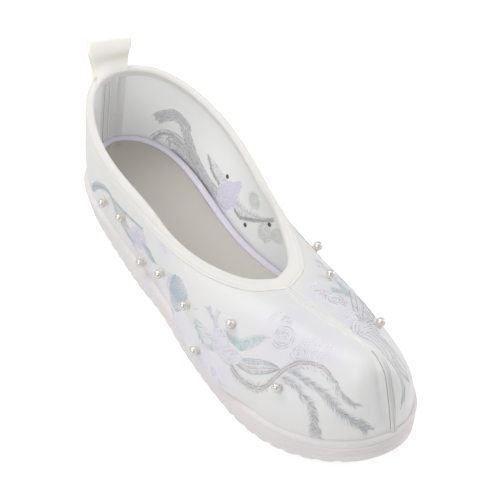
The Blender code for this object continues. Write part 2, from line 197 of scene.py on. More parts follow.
def closed_spline(knots: Array, values: Array) -> Callable[[Array], Array]:
    """Smooth closed curve that passes each row of values at its knot.

    Args:
        knots: Places of the rows, with the place where the curve closes at the end.
        values: One row of values for each knot but the last.

    Returns:
        A function that gives the rows at any places.
    """
    step = np.diff(knots)
    before = np.roll(step, 1)
    count = len(step)
    slope = (np.roll(values, -1, axis=0) - values) / step[:, None]
    matrix = np.zeros((count, count))
    for row in range(count):
        matrix[row, (row - 1) % count] += step[row]
        matrix[row, row] += 2.0 * (step[row] + before[row])
        matrix[row, (row + 1) % count] += before[row]
    right = 3.0 * (step[:, None] * np.roll(slope, 1, axis=0) + before[:, None] * slope)
    tangent = np.linalg.solve(matrix, right)

    def at(place: Array) -> Array:
        """Rows of the curve at places."""
        place = np.asarray(place, dtype=float) % knots[-1]
        low = np.clip(np.searchsorted(knots, place, side="right") - 1, 0, count - 1)
        high = (low + 1) % count
        share = ((place - knots[low]) / step[low])[..., None]
        span = step[low][..., None]
        return curve_between(share, span, (values[low], values[high]), (tangent[low], tangent[high]))

    return at


@dataclass
class Last:
    """The shoe's form, as functions of the place around the ring and of the way up the wall."""

    length: float = 248.0
    gap: float = 0.3
    centre_across: float = 1.1
    sole_wall: float = 14.0
    toe_spring: float = 11.0
    spring_start: float = 193.0
    arch_lift: float = 2.5
    arch_span: Pair = (80.0, 140.0)
    heel_undercut: float = 3.5
    fore_undercut: float = 0.5
    undercut_end: float = 88.0
    arch_swing: float = -4.5
    arch_swing_span: Pair = (28.0, 178.0)
    toe_swing: float = 5.6
    toe_swing_start: float = 128.0
    collar_swing_lost: float = 0.65
    feather_inset: float = 2.0
    keel_height: float = 1.2
    keel_half_width: float = 5.0
    keel_span: Pair = (148.0, 198.0)
    keel_fade: int = 6
    insole_heel: float = 10.0
    insole_fore: float = 4.2
    insole_ramp: Pair = (48.0, 148.0)
    crowding: float = 0.42
    knot_power: float = 0.6
    sag_depth: float = 3.2
    sag_span: tuple[float, float, float, float] = (0.43, 0.54, 0.64, 0.75)
    small: float = 1e-3
    rim: float = 0.99
    lowest_drop: float = 0.4
    drop_samples: int = 80
    arc_samples: int = 600

    def __post_init__(self) -> None:
        """Lay the smooth curve through the sections, out along one side and back along the other."""
        rows = np.array([section[1:] for section in SECTIONS])
        count = len(rows)
        self.fields = {name: place for place, name in enumerate(Section._fields[1:])}
        ring = np.vstack([rows, rows[-2:0:-1]])
        side = np.concatenate([np.zeros(1), -np.ones(count - 2), np.zeros(1), np.ones(count - 2)])
        for name in ("sole_half", "collar_half"):
            ring[:, self.fields[name]] *= side
        plan = ring[:, [self.fields["sole_half"], self.fields["sole_along"]]]
        step = np.linalg.norm(np.roll(plan, -1, axis=0) - plan, axis=1) ** self.knot_power
        knots = np.concatenate([np.zeros(1), np.cumsum(step)])
        self.total = knots[-1]
        self.toe = knots[count - 1]
        self.curve = closed_spline(knots, ring)
        self.arc_places = np.linspace(0.0, self.toe, self.arc_samples)
        self.arc = running_length(self.plan(self.arc_places, "sole"))

    def field(self, place: Array, name: str) -> Array:
        """Value of one field of the section table at places around."""
        return self.curve(place)[..., self.fields[name]]

    def plan(self, place: Array, edge: str) -> Array:
        """Plan points of the sole's edge or the collar, on a straight centre line."""
        return np.stack([self.field(place, f"{edge}_half"), self.field(place, f"{edge}_along")], axis=-1)

    def outline(self, place: Array, edge: str) -> tuple[Array, Array]:
        """Plan points of the sole's edge or the collar, and their outward normals."""
        ahead = self.plan(place + self.small, edge) - self.plan(place - self.small, edge)
        return self.plan(place, edge), unit(np.stack([-ahead[..., 1], ahead[..., 0]], axis=-1))

    def around(self, share: Array) -> Array:
        """Place around at a share of the outer side's length, 0 at the heel and 1 at the toe."""
        return np.interp(np.asarray(share) * self.arc[-1], self.arc, self.arc_places)

    def on_side(self, side: Side, around: Array) -> Array:
        """Place around the ring for a share of the way from heel to toe on one side."""
        place = self.around(around)
        return place if side is Side.OUTER else self.total - place

    def ring_place(self, share: Array) -> Array:
        """Place at a share of the whole ring, from the heel back to the heel, closer at both ends."""
        half = np.where(share <= 0.5, 2.0 * share, 2.0 - 2.0 * share)
        eased = half - self.crowding * np.sin(2.0 * math.pi * half) / (2.0 * math.pi)
        outer = self.around(eased)
        return np.where(share <= 0.5, outer, self.total - outer)

    def toe_lift(self, along: Array) -> Array:
        """Lift of the sprung toe."""
        share = np.clip((along - self.spring_start) / (self.length - self.spring_start), 0.0, None)
        return self.toe_spring * share ** 2

    def tread_height(self, along: Array) -> Array:
        """Height of the tread face."""
        start, end = self.arch_span
        arch = np.clip((along - start) / (end - start), 0.0, 1.0)
        return self.arch_lift * np.sin(math.pi * arch) ** 2 + self.toe_lift(along)

    def edge_height(self, along: Array) -> Array:
        """Height of the sole's upper edge."""
        return self.sole_wall + self.toe_lift(along)

    def footbed_height(self, along: Array) -> Array:
        """Height of the footbed's top, which has a wedge under the heel."""
        ramp = smooth_step(*self.insole_ramp, along)
        thickness = self.insole_heel + (self.insole_fore - self.insole_heel) * ramp
        return self.edge_height(along) + self.gap + thickness

    def undercut(self, along: Array) -> Array:
        """How far the foot of the sole wall is drawn in below its upper edge."""
        ease = smooth_step(0.0, self.undercut_end, along)
        return self.heel_undercut + (self.fore_undercut - self.heel_undercut) * ease

    def swing(self, along: Array) -> Array:
        """Sideways curve of the last's centre line."""
        start, end = self.arch_swing_span
        arch = np.clip((along - start) / (end - start), 0.0, 1.0)
        toe = smooth_step(self.toe_swing_start, self.length, along)
        return self.arch_swing * np.sin(math.pi * arch) ** 2 + self.toe_swing * toe

    def sag(self, place: Array) -> Array:
        """How far the satin sags over the sole's edge, which it does at the outer ball of the foot."""
        share = np.interp(place, self.arc_places, self.arc) / self.arc[-1]
        begin, full, hold, end = self.sag_span
        return self.sag_depth * smooth_step(begin, full, share) * smooth_step(end, hold, share)

    def in_frame(self, across: Array, along: Array, height: Array) -> Array:
        """Turn across, along and height into the shoe's X, Y, Z."""
        return np.stack([across - self.centre_across, self.length / 2.0 - along, height], axis=-1)

    def sole_plan(self, place: Array, inset: Array) -> tuple[Array, Array]:
        """Plan points of the sole's edge, moved inwards by distances, and their outward normals."""
        edge, normal = self.outline(place, "sole")
        return edge - np.asarray(inset)[..., None] * normal, normal

    def level(self, place: Array, inset: Array, middle: Array) -> tuple[Array, Array]:
        """Points of the sole or the footbed in plan.

        Args:
            place: Places around the ring.
            inset: Distances in from the sole's edge.
            middle: Shares of the way from there to the centre line.

        Returns:
            Across with the last's swing, and along.
        """
        plan, _ = self.sole_plan(place, inset)
        along = plan[..., 1]
        return plan[..., 0] * (1.0 - middle) + self.swing(along), along

    def wall(self, place: Array, up: Array | float) -> Array:
        """Points on the outer face of the upper.

        Args:
            place: Places around the ring.
            up: Ways up the wall, from 0 at the sole to 1 at the collar.

        Returns:
            One point for each place and way up.
        """
        place, up = np.broadcast_arrays(np.asarray(place, dtype=float), np.asarray(up, dtype=float))
        foot_plan, foot_normal = self.sole_plan(place, np.full(place.shape, self.feather_inset))
        top_plan, top_normal = self.outline(place, "collar")
        foot_height = self.edge_height(foot_plan[..., 1]) + self.gap
        top_height = self.field(place, "collar_height")
        lower_plan = foot_plan + self.field(place, "foot_lean")[..., None] * foot_normal
        upper_plan = (top_plan + self.field(place, "top_reach")[..., None] * (foot_plan - top_plan)
                      + self.field(place, "top_lean")[..., None] * top_normal)
        lower_height = foot_height + self.field(place, "foot_rise")
        upper_height = top_height + self.field(place, "top_rise")
        rest = 1.0 - up
        weights = (rest ** 3, 3.0 * up * rest ** 2, 3.0 * up ** 2 * rest, up ** 3)
        plans = (foot_plan, lower_plan, upper_plan, top_plan)
        heights = (foot_height, lower_height, upper_height, top_height)
        plan = sum(weight[..., None] * point for weight, point in zip(weights, plans))
        height = sum(weight * value for weight, value in zip(weights, heights))
        across, along = plan[..., 0], plan[..., 1]
        start, full = self.keel_span
        toe_share = np.clip((along - start) / (self.length - start), 0.0, 1.0)
        keel = smooth_step(start, full, along) * (1.0 - toe_share ** self.keel_fade)
        height = height + self.keel_height * keel * bell(across, 0.0, self.keel_half_width)
        across = across + self.swing(along) * (1.0 - self.collar_swing_lost * up)
        return self.in_frame(across, along, height)

    def wall_normal(self, place: Array, up: Array) -> Array:
        """Outward unit normals of the upper's outer face."""
        up = np.asarray(up, dtype=float)
        low = np.clip(up - self.small, 0.0, 1.0)
        high = np.clip(up + self.small, 0.0, 1.0)
        along_ring = self.wall(place + self.small, up) - self.wall(place - self.small, up)
        along_wall = self.wall(place, high) - self.wall(place, low)
        return unit(np.cross(along_ring, along_wall))

    def heel_scale(self, up: float, step: float) -> float:
        """Millimetres around the back of the heel for one unit of place, measured over a step."""
        here, there = self.wall(np.array([0.0, step]), up)
        return float(np.linalg.norm(there - here)) / step

    def up_below(self, place: Array, drop: Array) -> Array:
        """Ways up the wall at drops below the collar edge.

        Args:
            place: Places around the ring.
            drop: Distances below the edge, measured along the wall.

        Returns:
            One way up for each place.
        """
        columns, back = np.unique(np.round(place, 9), return_inverse=True)
        ups = np.linspace(1.0, self.lowest_drop, self.drop_samples)
        path = self.wall(columns[:, None], ups[None, :])
        steps = np.linalg.norm(np.diff(path, axis=1), axis=2)
        length = np.concatenate([np.zeros((len(columns), 1)), np.cumsum(steps, axis=1)], axis=1)
        found = np.empty(place.shape)
        for column in range(len(columns)):
            picked = back == column
            found[picked] = np.interp(np.maximum(drop[picked], 0.0), length[column], ups)
        return found

    def below_collar(self, place: Array, drop: Array, offset: Array) -> Array:
        """Points at drops below the collar edge, moved out by offsets.

        Args:
            place: Places around the ring.
            drop: Distances below the edge along the wall; below zero carries on above the edge.
            offset: Distances out from the outer face.

        Returns:
            One point for each place.
        """
        up = self.up_below(place, drop)
        point = self.wall(place, up) + offset[:, None] * self.wall_normal(place, up)
        rising = unit(self.wall(place, 1.0) - self.wall(place, self.rim))
        return point + np.maximum(-drop, 0.0)[:, None] * rising


def deselect() -> None:
    """Leave nothing selected, so that an operator only works on its own piece."""
    bpy.ops.object.select_all(action="DESELECT")


def pick(piece: Piece) -> None:
    """Make a piece the only one selected and the active one."""
    deselect()
    piece.select_set(True)
    bpy.context.view_layer.objects.active = piece


def draped(name: str, columns: int, rows: int, placing: Placing) -> Piece:
    """Lay a grid primitive over a surface.

    Args:
        name: Name of the piece.
        columns: Steps of the grid in its first direction.
        rows: Steps of the grid in its second direction.
        placing: Gives millimetre points for the shares of both directions.

    Returns:
        The piece, with a UV map of the two shares.
    """
    deselect()
    bpy.ops.mesh.primitive_grid_add(x_subdivisions=columns, y_subdivisions=rows, size=1.0)
    piece = bpy.context.object
    piece.name = name
    piece.data.name = name
    flat = np.empty(len(piece.data.vertices) * 3)
    piece.data.vertices.foreach_get("co", flat)
    share = np.clip(flat.reshape(-1, 3)[:, :2] + 0.5, 0.0, 1.0)
    points = placing(share[:, 0], share[:, 1]) * MM
    piece.data.vertices.foreach_set("co", points.ravel())
    piece.data.update()
    return piece


def weld(piece: Piece) -> None:
    """Join the points that meet where a draped piece closes on itself."""
    pick(piece)
    bpy.ops.object.mode_set(mode="EDIT")
    bpy.ops.mesh.select_all(action="SELECT")
    bpy.ops.mesh.remove_doubles(threshold=WELD_DISTANCE)
    bpy.ops.object.mode_set(mode="OBJECT")


def thicken(piece: Piece, thickness: float, offset: float) -> None:
    """Give a sheet its thickness.

    Args:
        piece: The sheet.
        thickness: Its thickness in millimetres.
        offset: Where it grows: -1 is behind its face, 0 is to both sides.
    """
    pick(piece)
    bpy.ops.object.modifier_add(type="SOLIDIFY")
    cloth = piece.modifiers[-1]
    cloth.thickness = thickness * MM
    cloth.offset = offset
    bpy.ops.object.modifier_apply(modifier=cloth.name)


def smooth(piece: Piece, angle: float = 50.0) -> None:
    """Shade a piece smooth but for edges sharper than an angle."""
    pick(piece)
    bpy.ops.object.shade_smooth_by_angle(angle=math.radians(angle))


def axes_matrix(across: Array, along: Array, normal: Array, place: Sequence[float]) -> Matrix:
    """Matrix with three axes as its columns, at a place in metres."""
    matrix = Matrix.Identity(4)
    for row in range(3):
        matrix[row] = (across[row], along[row], normal[row], place[row])
    return matrix


def linear(code: str) -> tuple[float, float, float, float]:
    """Linear colour of an sRGB hex code."""
    shades = (int(code[start:start + 2], 16) / 255.0 for start in (0, 2, 4))
    bent = (shade / 12.92 if shade <= 0.04045 else ((shade + 0.055) / 1.055) ** 2.4 for shade in shades)
    return (*bent, 1.0)


def add_node(tree: Tree, kind: str, values: dict | None = None, links: dict | None = None,
             **settings: object) -> bpy.types.Node:
    """Add a node to a tree.

    Args:
        tree: Tree of a material or the world.
        kind: Type of the shader node.
        values: Values for its input sockets.
        links: Output sockets to link to its input sockets.
        settings: Attributes of the node itself.

    Returns:
        The new node.
    """
    node = tree.nodes.new(f"ShaderNode{kind}")
    for name, value in settings.items():
        setattr(node, name, value)
    for socket, value in (values or {}).items():
        node.inputs[socket].default_value = value
    for socket, source in (links or {}).items():
        tree.links.new(source, node.inputs[socket])
    return node


def painted_shading_along(tree: Tree, front: str, heel: str, span: Pair) -> Socket:
    """Colour that changes along the shoe: painted light and shade.

    Args:
        tree: Tree of the material.
        front: Colour of the forepart.
        heel: Colour of the heel.
        span: Y in millimetres where the change starts and ends.

    Returns:
        The socket that gives the colour.
    """
    coords = add_node(tree, "TexCoord")
    axes = add_node(tree, "SeparateXYZ", links={"Vector": coords.outputs["Object"]})
    back = add_node(tree, "MapRange", {"From Min": span[0] * MM, "From Max": span[1] * MM},
                    {"Value": axes.outputs["Y"]})
    mixed = add_node(tree, "Mix", {"A": linear(front), "B": linear(heel)},
                     {"Factor": back.outputs["Result"]}, data_type="RGBA")
    return mixed.outputs["Result"]


@dataclass(frozen=True)
class Finish:
    """A real material: its colour and how it takes the light."""

    name: str
    colour: str
    roughness: float
    sheen: float = 0.0
    coat: float = 0.0
    specular: float = 0.5
    metallic: float = 0.0

    def material(self) -> bpy.types.Material:
        """Principled material of this finish, made once."""
        made = bpy.data.materials.get(self.name)
        if made is None:
            made = bpy.data.materials.new(self.name)
            made.use_nodes = True
            shader = made.node_tree.nodes["Principled BSDF"]
            looks = {"Base Color": linear(self.colour), "Roughness": self.roughness,
                     "Sheen Weight": self.sheen, "Coat Weight": self.coat,
                     "Specular IOR Level": self.specular, "Metallic": self.metallic}
            for socket, value in looks.items():
                shader.inputs[socket].default_value = value
            self.grain(made.node_tree, shader)
        return made

    def grain(self, tree: Tree, shader: bpy.types.Node) -> None:
        """A plain finish has no grain."""

    def dress(self, piece: Piece) -> None:
        """Give a piece this finish alone."""
        piece.data.materials.clear()
        piece.data.materials.append(self.material())


# Bands for each unit of length in a wave texture of scale 1.
WAVE_BANDS = 20.0 / (2.0 * math.pi)
# Depth in millimetres of a grain at full relief.
GRAIN_DEPTH = 0.1


@dataclass(frozen=True)
class Weave(Finish):
    """Woven cloth: crossing threads in the bump, a slow drift of tone and a painted glow.

    Real threads lie about 0.3 mm apart. They are drawn at a wider pitch, so that they show.
    """

    pitch: float = 1.6
    relief: float = 0.12
    tone: str = "ffffff"
    drift: float = 30.0
    # Strength of the painted glow, an emission that lightens the cloth in place of light.
    glow: float = 0.0

    def grain(self, tree: Tree, shader: bpy.types.Node) -> None:
        """Add the crossed threads, the tint and the painted glow: emission in the cloth's own colour that
        lightens it as more light would.
        """
        # Painted glow: the cloth emits its own colour, though it is no lamp.
        shader.inputs["Emission Color"].default_value = linear(self.colour)
        shader.inputs["Emission Strength"].default_value = self.glow
        coords = add_node(tree, "TexCoord")
        scale = 1.0 / (self.pitch * MM * WAVE_BANDS)
        heights = []
        for direction in ("X", "Z"):
            wave = add_node(tree, "TexWave", {"Scale": scale, "Distortion": 0.6, "Detail": 1.0},
                            {"Vector": coords.outputs["Object"]}, bands_direction=direction)
            heights.append(wave.outputs["Fac"])
        crossed = add_node(tree, "Math", links={0: heights[0], 1: heights[1]}, operation="ADD")
        bump = add_node(tree, "Bump", {"Strength": self.relief, "Distance": GRAIN_DEPTH * MM},
                        {"Height": crossed.outputs[0]})
        tree.links.new(bump.outputs["Normal"], shader.inputs["Normal"])
        tree.links.new(self.tint(tree), shader.inputs["Base Color"])

    def tint(self, tree: Tree) -> Socket:
        """Colour of the cloth, which drifts slowly between two tones."""
        coords = add_node(tree, "TexCoord")
        cloudy = add_node(tree, "TexNoise", {"Scale": 1.0 / (self.drift * MM), "Detail": 3.0},
                          {"Vector": coords.outputs["Object"]})
        mixed = add_node(tree, "Mix", {"A": linear(self.colour), "B": linear(self.tone)},
                         {"Factor": cloudy.outputs["Fac"]}, data_type="RGBA")
        return mixed.outputs["Result"]


@dataclass(frozen=True)
class Satin(Weave):
    """Satin with a printed haze behind the embroidery."""

    haze: str = "e2dfed"

    def tint(self, tree: Tree) -> Socket:
        """Colour of the cloth, with the haze over its drift of tone."""
        haze = add_node(tree, "Attribute", attribute_name="haze")
        hazed = add_node(tree, "Mix", {"B": linear(self.haze)},
                         {"Factor": haze.outputs["Fac"], "A": super().tint(tree)}, data_type="RGBA")
        return hazed.outputs["Result"]


@dataclass(frozen=True)
class Graded(Weave):
    """Cloth whose tone changes between the forepart and the heel, as painted shade."""

    heel: str = "ffffff"
    shading_span: Pair = (-50.0, 100.0)

    def tint(self, tree: Tree) -> Socket:
        """Colour of the cloth at its place between the forepart and the heel."""
        # Painted shade: the lining greys towards the forepart, the footbed darkens towards the heel.
        return painted_shading_along(tree, self.colour, self.heel, self.shading_span)


@dataclass(frozen=True)
class Webbing(Weave):
    """Ribbed webbing, with painted shade along the soft crease under its fold."""

    # Colour of the painted shade in the crease, the crease's height and how far the shade reaches.
    crease: str = "dcd7d0"
    crease_shade_height: float = 80.5
    crease_reach: float = 7.0

    def tint(self, tree: Tree) -> Socket:
        """Colour of the webbing, with painted shade that deepens near the crease."""
        coords = add_node(tree, "TexCoord")
        axes = add_node(tree, "SeparateXYZ", links={"Vector": coords.outputs["Object"]})
        above = add_node(tree, "Math", {1: self.crease_shade_height * MM}, {0: axes.outputs["Z"]},
                         operation="SUBTRACT")
        apart = add_node(tree, "Math", links={0: above.outputs["Value"]}, operation="ABSOLUTE")
        share = add_node(tree, "MapRange",
                         {"From Max": self.crease_reach * MM, "To Min": 1.0, "To Max": 0.0},
                         {"Value": apart.outputs["Value"]}, interpolation_type="SMOOTHSTEP")
        # Painted shade: the colour is mixed towards the darker crease colour near the crease height.
        crease_shaded = add_node(tree, "Mix", {"B": linear(self.crease)},
                          {"Factor": share.outputs["Result"], "A": super().tint(tree)}, data_type="RGBA")
        return crease_shaded.outputs["Result"]


@dataclass(frozen=True)
class Backdrop(Finish):
    """Studio paper, burnt out to white for the camera without lighting the shoe from below."""

    glow: float = 0.55

    def grain(self, tree: Tree, shader: bpy.types.Node) -> None:
        """Add the glow that only the camera sees."""
        shader.inputs["Emission Color"].default_value = (1.0, 1.0, 1.0, 1.0)
        ray = add_node(tree, "LightPath")
        glow = add_node(tree, "MapRange", {"To Max": self.glow},
                        {"Value": ray.outputs["Is Camera Ray"]})
        tree.links.new(glow.outputs["Result"], shader.inputs["Emission Strength"])


@dataclass(frozen=True)
class Moulded(Finish):
    """Moulded rubber: a fine dull grain, and painted light that makes it paler towards the heel."""

    grain_size: float = 0.6
    relief: float = 0.08
    heel: str = "f0eeed"
    shading_span: Pair = (10.0, 85.0)

    def grain(self, tree: Tree, shader: bpy.types.Node) -> None:
        """Add the fine grain and the painted light that pales the heel."""
        coords = add_node(tree, "TexCoord")
        speck = add_node(tree, "TexNoise", {"Scale": 1.0 / (self.grain_size * MM), "Detail": 2.0},
                         {"Vector": coords.outputs["Object"]})
        bump = add_node(tree, "Bump", {"Strength": self.relief, "Distance": GRAIN_DEPTH * MM},
                        {"Height": speck.outputs["Fac"]})
        tree.links.new(bump.outputs["Normal"], shader.inputs["Normal"])
        # Painted light: the rubber's pink pales towards the heel.
        tree.links.new(painted_shading_along(tree, self.colour, self.heel, self.shading_span), shader.inputs["Base Color"])


# Pressed satin: long floats of thread give a soft sheen and hardly any grain.
SATIN = Satin("embroidered_satin", "f1f0ef", 0.36, sheen=0.1, specular=0.5, tone="eae9e9", relief=0.05)
# Thin plain-woven cotton, matt. A painted glow lightens it all over, and painted shade makes it greyer
# towards the toe, under the vamp.
LINING_CLOTH = Graded("lining_cloth", "e2e3e3", 0.8, sheen=0.1, specular=0.2, glow=0.11, heel="f3f4f4",
                      shading_span=(0.0, 55.0))
# Ironed cotton tape: matt, a little greyer than the lining, with a faint painted glow that lightens it.
SEAM_TAPE = Weave("heel_seam_tape", "eeeeed", 0.7, specular=0.25, tone="e8e8e7", glow=0.05)
# Ribbed cotton tape: warm white and matt, with ribs that catch a little light.
IVORY_TAPE = Weave("ivory_cotton_tape", "f5f3f0", 0.8, sheen=0.15, specular=0.2, tone="efede9", relief=0.35)
# Thick cotton webbing: warm white, with a painted glow that lightens it all over and painted shade along the
# crease under its fold.
WEBBING = Webbing("ivory_webbing", "f9f6f2", 0.8, specular=0.2, tone="f5f2ed", relief=0.3, glow=0.22)
# Dyed cotton tape: pale lilac and matt, with a faint painted glow that lightens it.
LILAC_TAPE = Weave("lilac_edging_tape", "e6e2ee", 0.75, specular=0.2, tone="e0dcea", relief=0.2, glow=0.03)
# Brushed cloth over foam: beige with no gloss at all, and darker at the heel with painted shade from the heel
# walls.
FOOTBED_CLOTH = Graded("beige_footbed_cloth", "e4e0d9", 0.9, specular=0.15, relief=0.2, heel="bcb7af")
# Moulded rubber: a dull gloss and a faint pink, paled towards the heel by painted light.
RUBBER = Moulded("pale_moulded_rubber", "efe9ea", 0.5, specular=0.4)
# Nacre over a bead: a metal-like depth under a clear glossy coat.
PEARL = Finish("pearl_nacre", "e9e5df", 0.1, coat=1.0, specular=0.7, metallic=0.45)
# Cream enamel on the small cap under a pearl: half dull.
PEARL_CAP = Finish("pearl_cap", "e8e3d9", 0.35, specular=0.5)
# Darkened metal of the rivets: small dull grey dots on the lining.
RIVET = Finish("rivet_metal", "6f6d69", 0.4, metallic=0.9)
# Matt studio paper: burnt out to white.
PAPER = Backdrop("white_studio_paper", "f6f6f6", 0.9, specular=0.0)


class Thread(Enum):
    """Embroidery threads: silks with a soft lustre, and the duller threads of the reverse and the seams."""

    SILVER = Finish("silver_silk", "d3d6d9", 0.4, sheen=0.2)
    TEAL = Finish("teal_silk", "c2d6dd", 0.4, sheen=0.2)
    MINT = Finish("mint_silk", "e0efeb", 0.4, sheen=0.2)
    LAVENDER = Finish("lavender_silk", "e9e5f8", 0.4, sheen=0.2)
    LILAC = Finish("lilac_white_silk", "f8f6fd", 0.4, sheen=0.2)
    PEACH = Finish("peach_silk", "ead8d1", 0.4, sheen=0.2)
    SLATE = Finish("slate_silk", "b9bcbe", 0.5)
    ASH = Finish("ash_bobbin_thread", "f0f1f1", 0.6)
    GREY = Finish("grey_bobbin_thread", "d8dada", 0.6)


SILVER, TEAL, MINT, LAVENDER, LILAC, PEACH, SLATE, ASH, GREY = Thread


def settle(piece: Piece, finish: Finish, slot: str | None = None, *nodes: str) -> None:
    """Dress a piece and join it to the frame.

    Args:
        piece: The finished piece.
        finish: What it is made of.
        slot: Material slot of the record that it belongs to, if any; not used.
        nodes: CAD nodes that it stands for.
    """
    finish.dress(piece)
    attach(piece, BODY)
    if nodes:
        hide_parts(*nodes)
    log.info("%s: %d faces", piece.name, len(piece.data.polygons))


class SoleRow(NamedTuple):
    """One line around the sole.

    It has a share of the undercut, an inset, a share of the wall, an extra rise and a share of the way to the
    middle.
    """

    draw: float
    inset: float
    up: float
    rise: float
    middle: float


# The rounded foot of the sole's wall, and the rolled lip at its top.
SOLE_FOOT = (SoleRow(1.0, 0.7, 0.0, 0.2, 0.0), SoleRow(1.0, 0.2, 0.0, 0.7, 0.0))
SOLE_LIP = (
    SoleRow(0.0, -0.05, 0.9, 0.0, 0.0),
    SoleRow(0.0, 0.0, 0.94, 0.0, 0.0),
    SoleRow(0.0, 0.25, 0.975, 0.0, 0.0),
    SoleRow(0.0, 0.7, 1.0, 0.05, 0.0),
    SoleRow(0.0, 1.2, 1.0, 0.3, 0.0),
    SoleRow(0.0, 1.6, 1.0, 0.55, 0.0),
    SoleRow(0.0, 1.95, 1.0, 0.6, 0.0),
)


@dataclass
class Sole:
    """Moulded sole with a rolled upper edge, step lines round the toe and cross lugs."""

    last: Last
    columns: int = 1000
    wall_rows: int = 22
    wall_span: Pair = (0.12, 0.86)
    undercut_top: float = 0.95
    tread_inset: float = 1.6
    tread_middles: tuple[float, ...] = (1.0, 0.6, 0.25, 0.0)
    top_inset: float = 2.3
    top_middles: tuple[float, ...] = (0.0, 0.3, 0.65, 1.0)
    lug_first: float = 11.0
    lug_last: float = 241.0
    lug_pitch: float = 7.8
    groove_width: float = 2.8
    groove_depth: float = 0.9
    groove_top: float = 0.3
    step_ups: tuple[float, ...] = (0.36, 0.56, 0.76)
    step_depth: float = 0.7
    step_width: float = 0.035
    step_start: float = 205.0
    step_ease: float = 14.0
    recess: float = 0.15

    def rows(self) -> list[SoleRow]:
        """Lines from the middle of the tread out, up the wall and back to the middle on top."""
        tread = [SoleRow(1.0, self.tread_inset, 0.0, 0.0, middle) for middle in self.tread_middles]
        wall = []
        for up in np.linspace(*self.wall_span, self.wall_rows):
            wall.append(SoleRow(1.0 - smooth_step(0.0, self.undercut_top, up), 0.0, float(up), 0.0, 0.0))
        top = [SoleRow(0.0, self.top_inset, 1.0, -self.recess, middle) for middle in self.top_middles]
        return [*tread, *SOLE_FOOT, *wall, *SOLE_LIP, *top]

    def groove(self, along: Array) -> Array:
        """Share of the groove depth at places along the tread."""
        half = self.lug_pitch / 2.0
        spacing = np.abs((along - self.lug_first + half) % self.lug_pitch - half)
        inside = smooth_step(self.groove_width * 0.75, self.groove_width * 0.25, spacing)
        return inside * (along > self.lug_first - half) * (along < self.lug_last)

    def steps(self, along: Array, up: Array) -> Array:
        """How far the step lines round the toe cut into the wall."""
        cut = sum(bell(up, line, self.step_width) for line in self.step_ups)
        return self.step_depth * cut * smooth_step(self.step_start, self.step_start + self.step_ease, along)

    def build(self) -> None:
        """Model the sole and set it in place of its CAD node."""
        last = self.last
        rows = np.array(self.rows())

        def placing(share: Array, up_share: Array) -> Array:
            """Points of the sole's grid."""
            row = rows[np.rint(up_share * (len(rows) - 1)).astype(int)]
            draw, inset, up, rise, middle = row.T
            place = last.ring_place(share)
            edge_along = last.field(place, "sole_along")
            inset = inset + draw * last.undercut(edge_along) + self.steps(edge_along, up) * (middle == 0.0)
            across, along = last.level(place, inset, middle)
            low = last.tread_height(along)
            low = low + self.groove_depth * self.groove(along) * smooth_step(self.groove_top, 0.0, up)
            height = low + (last.edge_height(along) - last.sag(place) - low) * up + rise
            return last.in_frame(across, along, height)

        piece = draped("moulded_sole", self.columns, len(rows) - 1, placing)
        weld(piece)
        smooth(piece, 60.0)
        settle(piece, RUBBER, "sole_rubber", "outsole")


class Crease(NamedTuple):
    """A soft trough (or ridge, if its depth is above zero) in the satin."""

    side: Side
    around: float
    up: float
    turn: float
    length: float
    width: float
    depth: float


CREASES = (
    Crease(Side.INNER, 0.996, 0.20, 90.0, 17.0, 7.0, -3.4),
    Crease(Side.INNER, 0.990, 0.53, 0.0, 11.0, 5.0, 1.2),
    Crease(Side.INNER, 0.972, 0.26, 92.0, 15.0, 3.6, 1.2),
    Crease(Side.OUTER, 0.981, 0.24, 88.0, 19.0, 3.4, -2.5),
    Crease(Side.OUTER, 0.945, 0.34, 70.0, 15.0, 4.5, 0.6),
    Crease(Side.INNER, 0.955, 0.24, 92.0, 15.0, 1.5, -0.5),
    Crease(Side.INNER, 0.938, 0.28, 84.0, 18.0, 2.4, 0.6),
    Crease(Side.INNER, 0.905, 0.28, 75.0, 18.0, 3.0, -0.5),
    Crease(Side.OUTER, 0.760, 0.20, 12.0, 26.0, 7.0, -0.5),
)


class Haze(NamedTuple):
    """A soft patch of colour on the satin, with its radius in millimetres."""

    around: float
    up: float
    radius: float
    strength: float


HAZES = (
    Haze(0.860, 0.68, 15.0, 0.6),
    Haze(0.895, 0.78, 11.0, 0.55),
    Haze(0.905, 0.64, 15.0, 0.6),
    Haze(0.935, 0.60, 10.0, 0.5),
    Haze(0.870, 0.57, 10.0, 0.5),
    Haze(0.680, 0.42, 10.0, 0.4),
    Haze(0.620, 0.12, 10.0, 0.6),
    Haze(0.660, 0.12, 9.0, 0.6),
    Haze(0.520, 0.07, 10.0, 0.7),
    Haze(0.400, 0.08, 10.0, 0.6),
    Haze(0.330, 0.13, 6.0, 0.6),
    Haze(0.500, 0.74, 7.0, 0.5),
)


# How far the inner side's motifs lie forward and up, the room by the toe where that eases off, and their top.
INNER_FORWARD = 0.06
INNER_FORWARD_EASE = 0.25
INNER_UP = 0.15
INNER_UP_EASE = 0.2
INNER_TOP = 0.9


def to_inner(points: Places) -> Array:
    """Move a motif to the inner side, where the cloth was cut a little further forward and up.

    Args:
        points: Places of the motif on the outer side.

    Returns:
        Its places on the inner side.
    """
    places = np.array(points, dtype=float)
    room = 1.0 - places[..., 0]
    places[..., 1] += INNER_UP * np.clip(room / INNER_UP_EASE, 0.0, 1.0)
    places[..., 0] += INNER_FORWARD * np.clip(room / INNER_FORWARD_EASE, 0.0, 1.0)
    places[..., 1] = np.clip(places[..., 1], 0.0, INNER_TOP)
    return places


